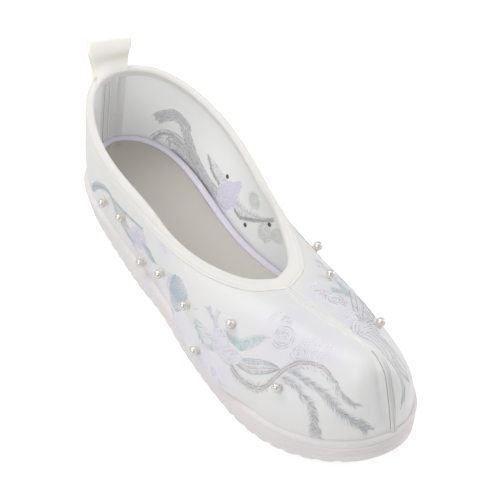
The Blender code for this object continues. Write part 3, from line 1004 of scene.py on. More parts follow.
@dataclass
class Drape:
    """The satin's own surface: the last with its main creases and the groove of the heel seam."""

    last: Last
    columns: int = 1600
    rows: int = 160
    heel_groove: float = 0.5
    heel_groove_width: float = 1.2
    heel_level: float = 0.7
    heel_step: float = 0.01
    foot_ease: float = 0.06
    swell: float = 1.3
    swell_foot: float = 0.06
    swell_full: float = 0.08
    swell_top: float = 0.32
    crease_reach: float = 25.0
    rise_step: float = 0.02

    def __post_init__(self) -> None:
        """Work out the satin once on a close grid, to be read off between its points."""
        last = self.last
        self.places = last.ring_place(np.linspace(0.0, 1.0, self.columns + 1))
        ups = np.linspace(0.0, 1.0, self.rows + 1)
        bare = last.wall(self.places[:, None], ups[None, :])
        bare += self.sagging(ups)
        heel = np.minimum(self.places, last.total - self.places) * self.heel_scale()
        lift = self.creases(bare) - self.heel_groove * bell(heel, 0.0, self.heel_groove_width)[:, None]
        lift = lift * smooth_step(0.0, self.foot_ease, ups)[None, :]
        self.grid = bare + lift[..., None] * self.grid_normals(bare)
        self.normals = self.grid_normals(self.grid)

    def sagging(self, ups: Array) -> Array:
        """Moves of the grid where the satin bulges out and hangs over the sole's edge."""
        sag = self.last.sag(self.places)[:, None]
        _, outward = self.last.sole_plan(self.places, np.zeros(self.places.shape))
        bulge = self.swell * sag * smooth_step(0.0, self.swell_foot, ups)
        bulge = bulge * smooth_step(self.swell_top, self.swell_full, ups)
        drop = sag * smooth_step(self.swell_top, 0.0, ups)
        return np.stack([bulge * outward[:, :1], -bulge * outward[:, 1:], -drop], axis=-1)

    @staticmethod
    def grid_normals(grid: Array) -> Array:
        """Outward normals of a grid of points that closes at the heel."""
        ring = np.concatenate([grid[-2:-1], grid, grid[1:2]])
        return unit(np.cross(ring[2:] - ring[:-2], np.gradient(grid, axis=1)))

    def heel_scale(self) -> float:
        """Millimetres around the heel for one unit of place."""
        return self.last.heel_scale(self.heel_level, self.heel_step)

    def creases(self, points: Array) -> Array:
        """Lift of the creases.

        Args:
            points: Points of the wall.

        Returns:
            One lift for each point.
        """
        lift = np.zeros(points.shape[:-1])
        for crease in CREASES:
            place = np.array([self.last.on_side(crease.side, crease.around)])
            up = np.array([crease.up])
            centre = self.last.wall(place, up)[0]
            rise = unit(self.last.wall(place, up + self.rise_step)[0] - centre)
            normal = self.last.wall_normal(place, up)[0]
            forward = np.cross(rise, normal) * (1.0 if crease.side is Side.OUTER else -1.0)
            turn = math.radians(crease.turn)
            lengthways = math.cos(turn) * forward + math.sin(turn) * rise
            sideways = -math.sin(turn) * forward + math.cos(turn) * rise
            away = points - centre
            shape = (away @ lengthways / crease.length) ** 2 + (away @ sideways / crease.width) ** 2
            shape = shape + (away @ normal / self.crease_reach) ** 2
            lift += crease.depth * np.exp(-shape)
        return lift

    def read(self, table: Array, place: Array, up: Array) -> Array:
        """Read a table of the grid between its points.

        Args:
            table: One row of values for each point of the grid.
            place: Places around the ring.
            up: Ways up the wall.

        Returns:
            One row of values for each place and way up.
        """
        column = np.interp(np.asarray(place) % self.last.total, self.places, np.arange(self.columns + 1))
        column, row = np.broadcast_arrays(column, np.clip(up, 0.0, 1.0) * self.rows)
        left = np.clip(column.astype(int), 0, self.columns - 1)
        low = np.clip(row.astype(int), 0, self.rows - 1)
        over = (column - left)[..., None]
        above = (row - low)[..., None]
        lower = (1.0 - over) * table[left, low] + over * table[left + 1, low]
        upper = (1.0 - over) * table[left, low + 1] + over * table[left + 1, low + 1]
        return (1.0 - above) * lower + above * upper

    def point(self, place: Array, up: Array) -> Array:
        """Points on the satin."""
        return self.read(self.grid, place, up)

    def normal(self, place: Array, up: Array) -> Array:
        """Outward normals of the satin."""
        return unit(self.read(self.normals, place, up))

    def lifted(self, place: Array, up: Array, lift: Array) -> Array:
        """Points lifted off the satin along its normals."""
        return self.point(place, up) + np.asarray(lift)[..., None] * self.normal(place, up)


class Ridge(NamedTuple):
    """A ridge along a tape, with its distance from the seam under the tape."""

    offset: float
    width: float
    height: float


class SewnThread(NamedTuple):
    """A sewing thread along a seam, with its distance from the seam and the way up where it ends."""

    name: str
    offset: float
    width: float
    top: float
    silk: Thread


HEEL_RIDGES = (Ridge(-6.6, 0.6, 0.3), Ridge(-0.6, 0.6, -0.4), Ridge(1.4, 1.0, 1.2), Ridge(6.6, 0.6, 0.3))
SEAM_THREADS = (
    SewnThread("seam_thread_left", -1.45, 0.4, 0.54, SLATE),
    SewnThread("seam_thread_right", 1.5, 0.35, 0.97, GREY),
)
HEEL_THREADS = (
    SewnThread("heel_thread_left", -6.0, 0.5, 0.94, SLATE),
    SewnThread("heel_thread_middle", -1.8, 0.5, 0.94, SLATE),
    SewnThread("heel_thread_right", 2.9, 0.6, 0.94, SLATE),
)


@dataclass
class Upper:
    """Satin outside, lining inside, the front seam and the taped heel seam."""

    last: Last
    drape: Drape
    columns: int = 560
    rows: int = 64
    tuck: float = 0.03
    tuck_depth: float = 1.4
    satin_thickness: float = 0.9
    lining_grid: tuple[int, int] = (360, 40)
    lining_thickness: float = 0.9
    seam_grid: tuple[int, int] = (72, 240)
    seam_top: float = 0.985
    seam_thickness: float = 0.6
    seam_half: float = 3.0
    seam_face: float = 0.3
    seam_swing: float = 3.2
    swing_span: Pair = (0.98, 0.6)
    swing_lost: float = 0.3
    swing_back: Pair = (0.5, 0.2)
    crest_span: Pair = (0.62, 0.40)
    welt_gauge: float = 0.65
    welt_gather: float = 0.2
    welt_rise: float = 0.5
    welt_swell: float = 0.8
    welt_width: float = 0.36
    ditch_gap: float = 0.9
    ditch_depth: float = 0.28
    ditch_width: float = 0.35
    edge_drop: float = 0.4
    edge_power: int = 6
    toe_step: float = 0.05
    tape_grid: tuple[int, int] = (40, 60)
    tape_width: float = 15.0
    tape_span: Pair = (0.12, 0.96)
    tape_thickness: float = 0.5
    tape_lift: float = 0.3
    thread_columns: int = 4
    thread_thickness: float = 0.3
    thread_lift: float = 0.1
    seam_thread_foot: float = 0.01
    seam_thread_spread: float = 0.75
    heel_thread_foot: float = 0.14
    sharp_angle: float = 70.0

    def haze(self, points: Array) -> Array:
        """Strength of the printed haze.

        Args:
            points: Points of the wall.

        Returns:
            One strength for each point.
        """
        amount = np.zeros(len(points))
        for side in Side:
            for patch in HAZES:
                spot = np.array([[patch.around, patch.up]])
                if side is Side.INNER:
                    spot = to_inner(spot)
                centre = self.last.wall(self.last.on_side(side, spot[:, 0]), spot[:, 1])[0]
                away = np.linalg.norm(points - centre, axis=1)
                amount = np.maximum(amount, patch.strength * bell(away, 0.0, patch.radius))
        return amount

    def build_satin(self) -> None:
        """Drape the satin over the last, with its creases, and tuck it behind the sole's edge."""
        last = self.last

        def placing(share: Array, up_share: Array) -> Array:
            """Points of the satin's grid."""
            place = last.ring_place(share)
            up = np.clip((up_share - self.tuck) / (1.0 - self.tuck), 0.0, 1.0)
            points = self.drape.point(place, up)
            tucked = self.tuck_depth * np.clip(1.0 - up_share / self.tuck, 0.0, 1.0)
            points[:, 2] -= tucked
            return points

        piece = draped("satin_upper", self.columns, self.rows, placing)
        weld(piece)
        thicken(piece, self.satin_thickness, -1.0)
        flat = np.empty(len(piece.data.vertices) * 3)
        piece.data.vertices.foreach_get("co", flat)
        haze = piece.data.attributes.new("haze", "FLOAT", "POINT")
        haze.data.foreach_set("value", self.haze(flat.reshape(-1, 3) / MM))
        smooth(piece)
        settle(piece, SATIN, "white_satin", "upper")

    def build_lining(self) -> None:
        """Line the upper with cloth."""
        last = self.last

        def placing(share: Array, up_share: Array) -> Array:
            """Points of the lining's grid."""
            place = last.ring_place(1.0 - share)
            return self.drape.lifted(place, up_share, np.full(place.shape, -LINING_FACE))

        piece = draped("lining", *self.lining_grid, placing)
        weld(piece)
        thicken(piece, self.lining_thickness, -1.0)
        smooth(piece)
        settle(piece, LINING_CLOTH)

    def on_seam(self, distance: Array, up: Array, lift: float) -> Array:
        """Points of the front seam.

        Args:
            distance: Distances from the seam, above zero towards the inner side.
            up: Ways up the wall.
            lift: Height above the seam's own face.

        Returns:
            One point for each distance; two welts join into one below the crest of the toe.
        """
        last = self.last
        front = self.below_crest(up)
        apart = np.abs(distance)
        gauge = self.welt_gauge - self.welt_gather * front
        welt = (self.welt_rise + self.welt_swell * front) * bell(apart, gauge, self.welt_width)
        ditch = self.ditch_depth * bell(apart, gauge + self.ditch_gap, self.ditch_width)
        edge = self.edge_drop * (apart / self.seam_half) ** self.edge_power
        swing = self.seam_swing * smooth_step(*self.swing_span, up)
        swing = swing * (1.0 - self.swing_lost * smooth_step(*self.swing_back, up))
        toe = np.full(up.shape, last.toe)
        ahead = last.wall(toe + self.toe_step, up)
        scale = np.linalg.norm(ahead - last.wall(toe, up), axis=1) / self.toe_step
        face = self.seam_face + welt - ditch - edge + lift
        return self.drape.lifted(toe + (distance + swing) / scale, up, face)

    def below_crest(self, up: Array) -> Array:
        """Share of the front seam's wider form, which starts below the crest of the toe."""
        return smooth_step(*self.crest_span, up)

    def build_centre_seam(self) -> None:
        """Sew the two halves together over the toe, with a welt on each side of the seam."""
        def placing(share: Array, up_share: Array) -> Array:
            """Points of the seam's grid."""
            return self.on_seam((2.0 * share - 1.0) * self.seam_half, self.seam_top * up_share, 0.0)

        piece = draped("centre_seam", *self.seam_grid, placing)
        thicken(piece, self.seam_thickness, -1.0)
        smooth(piece, self.sharp_angle)
        settle(piece, SATIN)

    def sew(self, thread: SewnThread, rows: int, placing: Placing) -> None:
        """Lay a sewing thread.

        Args:
            thread: The thread.
            rows: Steps of its grid along it.
            placing: Gives its points.
        """
        piece = draped(thread.name, self.thread_columns, rows, placing)
        thicken(piece, self.thread_thickness, -1.0)
        smooth(piece, self.sharp_angle)
        settle(piece, thread.silk.value)

    def build_seam_thread(self, thread: SewnThread) -> None:
        """Lay a thread along the front seam, a little closer to it above the crest."""
        def placing(share: Array, up_share: Array) -> Array:
            """Points of the thread's grid."""
            up = self.seam_thread_foot + (thread.top - self.seam_thread_foot) * up_share
            spread = self.seam_thread_spread + (1.0 - self.seam_thread_spread) * self.below_crest(up)
            return self.on_seam(thread.offset * spread + (share - 0.5) * thread.width, up, self.thread_lift)

        self.sew(thread, self.seam_grid[1], placing)

    def on_heel_tape(self, distance: Array, up: Array, lift: float) -> Array:
        """Points of the tape inside the heel.

        Args:
            distance: Distances from the heel seam.
            up: Ways up the wall.
            lift: Height above the tape's own face.

        Returns:
            One point for each distance.
        """
        relief = sum(ridge.height * bell(distance, ridge.offset, ridge.width) for ridge in HEEL_RIDGES)
        depth = LINING_FACE + self.tape_lift + relief + lift
        return self.drape.lifted(-distance / self.drape.heel_scale(), up, -depth)

    def build_heel_tape(self) -> None:
        """Cover the heel seam inside with a tape that has a raised middle."""
        foot, top = self.tape_span

        def placing(share: Array, up_share: Array) -> Array:
            """Points of the tape's grid."""
            return self.on_heel_tape((share - 0.5) * self.tape_width, foot + (top - foot) * up_share, 0.0)

        piece = draped("heel_seam_tape", *self.tape_grid, placing)
        thicken(piece, self.tape_thickness, -1.0)
        smooth(piece, self.sharp_angle)
        settle(piece, SEAM_TAPE)

    def build_heel_thread(self, thread: SewnThread) -> None:
        """Sew the heel tape down along one line."""
        def placing(share: Array, up_share: Array) -> Array:
            """Points of the thread's grid."""
            up = self.heel_thread_foot + (thread.top - self.heel_thread_foot) * up_share
            return self.on_heel_tape(thread.offset + (share - 0.5) * thread.width, up, self.thread_lift)

        self.sew(thread, self.tape_grid[1], placing)

    def build(self) -> None:
        """Build every layer of the upper."""
        self.build_satin()
        self.build_lining()
        self.build_centre_seam()
        for thread in SEAM_THREADS:
            self.build_seam_thread(thread)
        self.build_heel_tape()
        for thread in HEEL_THREADS:
            self.build_heel_thread(thread)


class PadRow(NamedTuple):
    """One line around the pad: inset from its tape, height from its top, share of the way to the middle."""

    inset: float
    rise: float
    middle: float


PAD_ROWS = (
    *(PadRow(0.0, -8.0, middle) for middle in (1.0, 0.5, 0.0)),
    PadRow(0.0, -2.0, 0.0),
    PadRow(0.0, -1.0, 0.0),
    PadRow(0.25, -0.5, 0.0),
    PadRow(0.8, -0.15, 0.0),
    PadRow(1.6, 0.0, 0.0),
    *(PadRow(2.4, 0.0, middle) for middle in (0.05, 0.12, 0.22, 0.36, 0.55, 0.78, 1.0)),
)


@dataclass
class Footbed:
    """Foam footbed covered in cloth, with a lilac tape bound around it."""

    last: Last
    columns: int = 480
    edging_inset: float = 4.2
    edging_width: float = 3.7
    edging_sides: int = 16
    edging_squareness: Pair = (0.7, 0.8)
    edging_half_height: float = 1.1
    edging_sink: float = 0.9
    dish: float = 0.9
    dish_edge: float = 0.6

    def build_pad(self) -> None:
        """Model the padded footbed."""
        last = self.last
        table = np.array(PAD_ROWS)

        def placing(share: Array, up_share: Array) -> Array:
            """Points of the pad's grid."""
            inset, rise, middle = table[np.rint(up_share * (len(table) - 1)).astype(int)].T
            inset = self.edging_inset + self.edging_width + inset
            across, along = last.level(last.ring_place(share), inset, middle)
            base = last.edge_height(along) + last.gap
            top = last.footbed_height(along) - self.dish * smooth_step(0.0, self.dish_edge, middle) + rise
            return last.in_frame(across, along, np.maximum(base, top))

        piece = draped("padded_footbed", self.columns, len(table) - 1, placing)
        weld(piece)
        smooth(piece, 60.0)
        settle(piece, FOOTBED_CLOTH, "footbed_cloth", "insole")

    def build_edging(self) -> None:
        """Bind the footbed with the lilac tape."""
        last = self.last
        turns = np.linspace(0.0, 2.0 * math.pi, self.edging_sides + 1)

        def placing(share: Array, up_share: Array) -> Array:
            """Points of the tape's grid, on a rounded square section."""
            turn = turns[np.rint(up_share * self.edging_sides).astype(int)]
            sideways, upward = np.sin(turn), -np.cos(turn)
            half = self.edging_width / 2.0
            wide, tall = self.edging_squareness
            inset = self.edging_inset + half + half * np.sign(sideways) * np.abs(sideways) ** wide
            across, along = last.level(last.ring_place(share), inset, np.zeros(share.shape))
            bulge = self.edging_half_height * np.sign(upward) * np.abs(upward) ** tall
            return last.in_frame(across, along, last.footbed_height(along) - self.edging_sink + bulge)

        piece = draped("footbed_edging", self.columns, self.edging_sides, placing)
        weld(piece)
        smooth(piece, 80.0)
        settle(piece, LILAC_TAPE, "lilac_tape", "insole_edging")

    def build(self) -> None:
        """Build the pad and its edging."""
        self.build_pad()
        self.build_edging()


# The binding's section, from its outer edge over the fold and back: drops below the collar and offsets out.
BINDING_SECTION = (
    (8.2, -0.1), (8.25, 0.3), (8.0, 0.6), (7.5, 0.7), (7.05, 0.62), (6.8, 0.42), (6.5, 0.6), (5.8, 0.8),
    (4.4, 0.88), (3.2, 0.82), (2.7, 0.72), (2.2, 0.95), (1.2, 1.15), (0.2, 1.15), (-0.7, 0.9), (-1.3, 0.3),
    (-1.6, -0.5), (-1.6, -1.5), (-1.3, -2.3), (-0.7, -2.9), (0.1, -3.1), (0.9, -3.0), (1.4, -2.75),
    (1.8, -2.85), (2.6, -2.9), (3.2, -2.7), (3.5, -2.3), (3.5, -1.9), (2.0, -1.8), (0.3, -1.8), (0.1, -1.0),
    (0.3, -0.1), (4.0, -0.15), (8.2, -0.1),
)

# The loop's webbing, from its inner end over the fold to its outer end: drops and offsets in the same way.
LOOP_LINE = (
    (1.0, -1.4), (0.0, -1.7), (-2.5, -2.1), (-6.0, -1.9), (-10.0, -1.4), (-12.5, -1.4), (-15.5, -2.0),
    (-19.0, -2.9), (-22.5, -3.3), (-25.0, -2.6), (-25.6, -1.6), (-25.0, -0.7), (-23.0, -0.3), (-19.0, -0.1),
    (-14.0, 0.2), (-11.0, 0.4), (-8.0, 0.7), (-4.0, 1.2), (0.0, 1.6), (5.0, 1.6), (9.0, 1.3),
)


@dataclass
class Collar:
    """Ivory tape folded over the collar edge, and the webbing loop sewn over it at the heel."""

    last: Last
    columns: int = 640
    binding_rows: int = 74
    loop_grid: tuple[int, int] = (24, 90)
    loop_half: float = 12.0
    loop_flare: float = -0.16
    loop_pinch: float = 0.12
    foot_shift: float = 2.2
    loop_tape: float = 1.2
    curved_to: float = 2.5
    flat_from: float = 21.0
    loop_twist: float = 19.0
    loop_shift: float = 3.0

    def build_binding(self) -> None:
        """Fold the tape over the edge of the upper."""
        last = self.last

        def placing(share: Array, up_share: Array) -> Array:
            """Points of the tape's grid."""
            path = through(BINDING_SECTION, up_share)
            return last.below_collar(last.ring_place(share), path[:, 0], path[:, 1])

        piece = draped("collar_tape", self.columns, self.binding_rows, placing)
        weld(piece)
        smooth(piece, 60.0)
        settle(piece, IVORY_TAPE, "ivory_tape", "collar_binding")

    def build_loop(self) -> None:
        """Fold the webbing into its loop, bulged at the fold and pinched below it."""
        last = self.last
        scale = last.heel_scale(1.0, last.small)

        def placing(share: Array, up_share: Array) -> Array:
            """Points of the webbing's grid, curved with the heel at its ends and flat at its fold."""
            path = through(LOOP_LINE, up_share)
            drop, offset = path[:, 0], path[:, 1]
            flat_share = smooth_step(self.curved_to, self.flat_from, -drop)
            across = (share - 0.5) * 2.0 * self.loop_half * (1.0 + self.loop_flare * flat_share)
            foot = across * (1.0 - self.loop_pinch) + self.foot_shift
            curved = last.below_collar(foot / scale, drop, offset)
            flat = last.below_collar(np.zeros(share.shape), drop, offset)
            flat[:, 0] -= across + self.loop_shift
            flat[:, 1] += across * math.tan(math.radians(self.loop_twist))
            return curved + flat_share[:, None] * (flat - curved)

        piece = draped("heel_loop", *self.loop_grid, placing)
        thicken(piece, self.loop_tape, 0.0)
        smooth(piece, 60.0)
        settle(piece, WEBBING, "ivory_tape", "pull_loop")

    def build(self) -> None:
        """Build the binding and the loop."""
        self.build_binding()
        self.build_loop()


@dataclass
class Pearls:
    """Pearls sewn to the satin, and the rivets that show behind them on the lining."""

    last: Last
    drape: Drape
    radius: float = 2.4
    ball_lift: float = 0.2
    cap_radius: float = 1.6
    cap_tube: float = 0.5
    cap_lift: float = 0.4
    rivet_radius: float = 1.2
    rivet_flatness: float = 0.5
    rivet_depth: float = 2.0
    upright: Spot = (0.0, 0.3, 1.0)
    covered: tuple[Side, int] = (Side.INNER, 1)

    def model(self) -> Piece:
        """One pearl on its cap, standing on the origin."""
        deselect()
        bpy.ops.mesh.primitive_torus_add(major_radius=self.cap_radius * MM, minor_radius=self.cap_tube * MM,
                                         major_segments=24, minor_segments=10,
                                         location=(0.0, 0.0, self.cap_lift * MM))
        cap = bpy.context.object
        PEARL_CAP.dress(cap)
        bpy.ops.mesh.primitive_uv_sphere_add(segments=32, ring_count=20, radius=self.radius * MM,
                                             location=(0.0, 0.0, (self.radius + self.ball_lift) * MM))
        ball = bpy.context.object
        PEARL.dress(ball)
        cap.select_set(True)
        bpy.ops.object.join()
        bpy.ops.object.transform_apply(location=True, rotation=True, scale=True)
        smooth(ball, 80.0)
        return ball

    def build(self) -> None:
        """Set a pearl in place of each CAD pearl, and its rivet behind it."""
        pattern = self.model()
        rivets = []
        for number, seat in enumerate(SEATS, start=1):
            for side, around, up in ((Side.OUTER, seat.outer_around, seat.outer_up),
                                     (Side.INNER, seat.inner_around, seat.inner_up)):
                place = np.array([float(self.last.on_side(side, around))])
                height = np.array([up])
                normal = self.drape.normal(place, height)[0]
                stand = self.drape.point(place, height)[0]
                mesh = pattern.data.copy()
                mesh.transform(self.standing(stand, normal))
                bead = bpy.data.objects.new(f"bead_{side.value}_{number}", mesh)
                mesh.name = bead.name
                bpy.context.scene.collection.objects.link(bead)
                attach(bead, BODY)
                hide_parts(f"pearl_{side.value}_{number}")
                log.info("%s: %d faces", bead.name, len(mesh.polygons))
                if (side, number) != self.covered:
                    rivets.append(self.rivet(stand - self.rivet_depth * normal, -normal))
        bpy.data.objects.remove(pattern)
        pick(rivets[0])
        for rivet in rivets[1:]:
            rivet.select_set(True)
        bpy.ops.object.join()
        bpy.ops.object.transform_apply(location=True, rotation=True, scale=True)
        piece = bpy.context.object
        piece.name = "rivet_backs"
        smooth(piece, 40.0)
        settle(piece, RIVET)

    def standing(self, point: Array, normal: Array) -> Matrix:
        """Matrix that stands a pattern on a point, with its own Z along a normal."""
        side = unit(np.cross(normal, np.array(self.upright)))
        return axes_matrix(side, np.cross(normal, side), normal, point * MM)

    def rivet(self, point: Array, normal: Array) -> Piece:
        """One rivet head on the lining."""
        deselect()
        bpy.ops.mesh.primitive_uv_sphere_add(segments=16, ring_count=8, radius=self.rivet_radius * MM)
        head = bpy.context.object
        head.scale = (1.0, 1.0, self.rivet_flatness)
        bpy.ops.object.transform_apply(location=False, rotation=False, scale=True)
        head.data.transform(self.standing(point, normal))
        return head


class Shape(NamedTuple):
    """Two edges of a stitched shape, both from the same end."""

    left: Places
    right: Places


# Share of a stitch's size at its ends, and how deep in millimetres a stitch sinks into the cloth.
THREAD_TAPER = 0.45
THREAD_SINK = 0.12


def thread_mesh(points: Array, normals: Array, width: float, height: float) -> tuple[Array, Array]:
    """Stitches as small closed prisms with tapered ends.

    Args:
        points: Points along each stitch, as stitch, point, XYZ.
        normals: Directions away from the cloth at those points.
        width: Width of the thread.
        height: Height of the thread above the cloth.

    Returns:
        Points, and faces as rows of four corners, where a triangle repeats its last corner.
    """
    count, samples, _ = points.shape
    tangent = np.gradient(points, axis=1)
    beside = unit(np.cross(normals, tangent))
    taper = np.ones(samples)
    taper[[0, -1]] = THREAD_TAPER
    taper = taper[None, :, None]
    low = points - THREAD_SINK * normals
    corners = np.stack([low + beside * width * 0.5 * taper, points + normals * height * taper,
                        low - beside * width * 0.5 * taper], axis=2)
    number = np.arange(count * samples * 3).reshape(count, samples, 3)
    faces = []
    for corner in range(3):
        after = (corner + 1) % 3
        faces.append(np.stack([number[:, :-1, corner], number[:, :-1, after],
                               number[:, 1:, after], number[:, 1:, corner]], axis=-1).reshape(-1, 4))
    first, final = number[:, 0], number[:, -1]
    faces.append(np.stack([first[:, 0], first[:, 2], first[:, 1], first[:, 1]], axis=-1))
    faces.append(np.stack([final[:, 0], final[:, 1], final[:, 2], final[:, 2]], axis=-1))
    return corners.reshape(-1, 3), np.concatenate(faces)


class Stitches(NamedTuple):
    """A batch of stitches on one side, as places along each stitch."""

    side: Side
    places: Array
    width: float
    height: float


Mix = Sequence[Thread]

# Silks laid together, so that a fill shimmers as hand embroidery does.
BREAST = (LILAC, LILAC, LILAC, LILAC, LAVENDER)
WING = (TEAL, TEAL, MINT, SILVER)
LEAF = (TEAL, TEAL, TEAL, SILVER)
DOWN = (MINT, LILAC, SILVER, LILAC)
QUILL = (SILVER, SLATE)
PLUME = (SILVER, SLATE, ASH, ASH, LILAC, ASH)
TIP = (TEAL, SILVER, PEACH, ASH)
WHITE = (LILAC,)
PETAL = (LAVENDER, LILAC)
BACK = (ASH, ASH, LILAC, GREY)
BACK_LINE = (GREY, GREY, SLATE, SLATE)


@dataclass
class Embroidery:
    """Hand embroidery on the wall of the shoe: fills, stem-stitch lines, barbs and rings.

    The needle works on one side and one face at a time.
    """

    last: Last
    drape: Drape
    side: Side = Side.OUTER
    face: Face = Face.OUTSIDE
    seed: int = 7
    course_samples: int = 240
    stitch_samples: int = 5
    around_step: float = 0.002
    up_step: float = 0.01
    highest: float = 0.97
    stitch: float = 1.8
    slant: float = 0.08
    overlap: float = 0.12
    longest: float = 3.2
    stagger: float = 0.22
    jitter: float = 0.1
    row_ends: Pair = (0.01, 0.99)
    fill_height: float = 0.17
    barb_samples: int = 3
    barb_stray: float = 0.4
    barb_sizes: Pair = (0.35, 1.2)
    barb_height: float = 0.22
    plume_pitch: float = 0.32
    plume_width: float = 0.32
    stripe_height: float = 0.33
    petal_samples: int = 7
    petal_tip: float = 0.05
    quill_end: int = 165
    plume_start: int = 160
    batches: dict = field(default_factory=dict)

    def __post_init__(self) -> None:
        """Start the run of small irregularities that a hand leaves."""
        self.hand = np.random.default_rng(self.seed)

    def turn_to(self, side: Side, face: Face = Face.OUTSIDE) -> None:
        """Go on with the needle on a side and a face."""
        self.side, self.face = side, face

    def seen(self, *points: Pair) -> Array:
        """Places of a motif on the side that is worked on."""
        return np.array(points) if self.side is Side.OUTER else to_inner(points)

    def on_wall(self, places: Array) -> Array:
        """Points of the outer face for places."""
        return self.last.wall(self.last.on_side(self.side, places[..., 0]), np.clip(places[..., 1], 0.0, 1.0))

    def slopes(self, places: Array) -> tuple[Array, Array]:
        """Moves along the wall at places, for one unit of the way around and one of the way up."""
        here = self.on_wall(places)
        forward = self.on_wall(places + np.array([self.around_step, 0.0])) - here
        rise = self.on_wall(places + np.array([0.0, self.up_step])) - here
        return forward / self.around_step, rise / self.up_step

    def moved(self, places: Array, vectors: Array) -> Array:
        """Places moved along the wall.

        Args:
            places: Places to start from.
            vectors: Moves in millimetres.

        Returns:
            The places at the ends of the moves.
        """
        forward, rise = self.slopes(places)
        ff = (forward * forward).sum(-1)
        fr = (forward * rise).sum(-1)
        rr = (rise * rise).sum(-1)
        fv = (forward * vectors).sum(-1)
        rv = (rise * vectors).sum(-1)
        whole = ff * rr - fr * fr
        return places + np.stack([(rr * fv - fr * rv) / whole, (ff * rv - fr * fv) / whole], axis=-1)

    def axes(self, course: Array) -> tuple[Array, Array]:
        """Directions along and across a course of places, both along the wall."""
        tangent = unit(np.gradient(self.on_wall(course), axis=0))
        return tangent, np.cross(unit(np.cross(*self.slopes(course))), tangent)

    def compass(self, places: Array) -> tuple[Array, Array]:
        """Unit directions forward and up the wall at places."""
        forward, rise = self.slopes(places)
        forward = unit(forward)
        return forward, unit(rise - (rise * forward).sum(-1)[:, None] * forward)

    def course(self, points: Places) -> Array:
        """Close-set places along a smooth line through a few places."""
        return through(points, np.linspace(0.0, 1.0, self.course_samples))

    def beside(self, course: Array, offset: float) -> Array:
        """Course moved across itself by millimetres."""
        _, across = self.axes(course)
        return self.moved(course, across * offset)

    def arc(self, centre: Sequence[float], radii: Pair, angles: Pair) -> Array:
        """Course around a centre.

        Args:
            centre: Place of the centre.
            radii: Radius at the start and at the end, in millimetres.
            angles: Angle at the start and at the end, in degrees.

        Returns:
            Close-set places.
        """
        share = np.linspace(0.0, 1.0, self.course_samples)
        angle = np.radians(angles[0] + (angles[1] - angles[0]) * share)
        reach = radii[0] + (radii[1] - radii[0]) * share
        places = np.repeat(np.array([centre], dtype=float), self.course_samples, axis=0)
        forward, rise = self.compass(places)
        ahead = (reach * np.cos(angle))[:, None] * forward
        return self.moved(places, ahead + (reach * np.sin(angle))[:, None] * rise)

    def keep(self, silks: Mix, places: Array, width: float, height: float) -> None:
        """Share a batch of stitches out among silks and keep it for their pieces.

        Args:
            silks: Threads to use.
            places: Places along each stitch.
            width: Width of the thread.
            height: Height of the thread above the cloth.
        """
        drawn = self.hand.integers(len(silks), size=len(places))
        for number, thread in enumerate(silks):
            picked = places[drawn == number]
            if len(picked):
                batch = Stitches(self.side, picked, width, height)
                self.batches.setdefault((thread, self.face), []).append(batch)

    def line(self, silks: Mix, course: Array, width: float = 0.5, height: float = 0.25) -> None:
        """Stem stitch along a course.

        Args:
            silks: Threads to use.
            course: Close-set places to follow.
            width: Width of the line.
            height: Height of the thread above the cloth.
        """
        length = running_length(self.on_wall(course))
        count = max(1, int(round(length[-1] / self.stitch)))
        low = self.beside(course, -self.slant)
        high = self.beside(course, self.slant)
        start = (np.arange(count) - self.overlap) / count
        share = np.linspace(0.0, 1.0, self.stitch_samples)
        stretch = (1.0 + 2.0 * self.overlap) / count
        wanted = np.clip(start[:, None] + share[None, :] * stretch, 0.0, 1.0) * length[-1]
        begin, end = read_along(wanted, length, low), read_along(wanted, length, high)
        self.keep(silks, begin + share[None, :, None] * (end - begin), width, height)

    def fill(self, silks: Mix, shape: Shape, spacing: float = 0.45, ragged: float = 0.5,
             width: float = 0.5) -> None:
        """Fill a shape with satin stitches from one edge to the other; wide parts take rows of shorter ones.

        Args:
            silks: Threads to use.
            shape: The two edges, from the same end.
            spacing: Distance between rows of stitches.
            ragged: How far the ends of the rows wander over the edges.
            width: Width of the thread.
        """
        shares = np.linspace(0.0, 1.0, self.course_samples)
        left, right = through(shape.left, shares), through(shape.right, shares)
        length = running_length(self.on_wall((left + right) / 2.0))
        count = max(3, int(length[-1] / spacing))
        at = np.interp(np.linspace(*self.row_ends, count) * length[-1], length, shares)
        left, right = through(shape.left, at), through(shape.right, at)
        across = np.linalg.norm(self.on_wall(left) - self.on_wall(right), axis=1)
        stray = self.hand.uniform(-1.0, 1.0, (2, count)) * ragged / np.maximum(across, 1.0)
        share = np.linspace(0.0, 1.0, self.stitch_samples)
        places = []
        for row in range(count):
            parts = max(1, int(math.ceil(across[row] / self.longest)))
            shift = (self.stagger if row % 2 else -self.stagger) / parts
            cuts = np.arange(1, parts) / parts + shift
            cuts = cuts + self.hand.uniform(-self.jitter, self.jitter, parts - 1)
            cuts = np.concatenate([[stray[0, row]], cuts, [1.0 + stray[1, row]]])
            for begin, end in zip(cuts[:-1], cuts[1:]):
                along = (begin + (end - begin) * share)[:, None]
                places.append(left[row] + along * (right[row] - left[row]))
        self.keep(silks, np.array(places), width, self.fill_height)

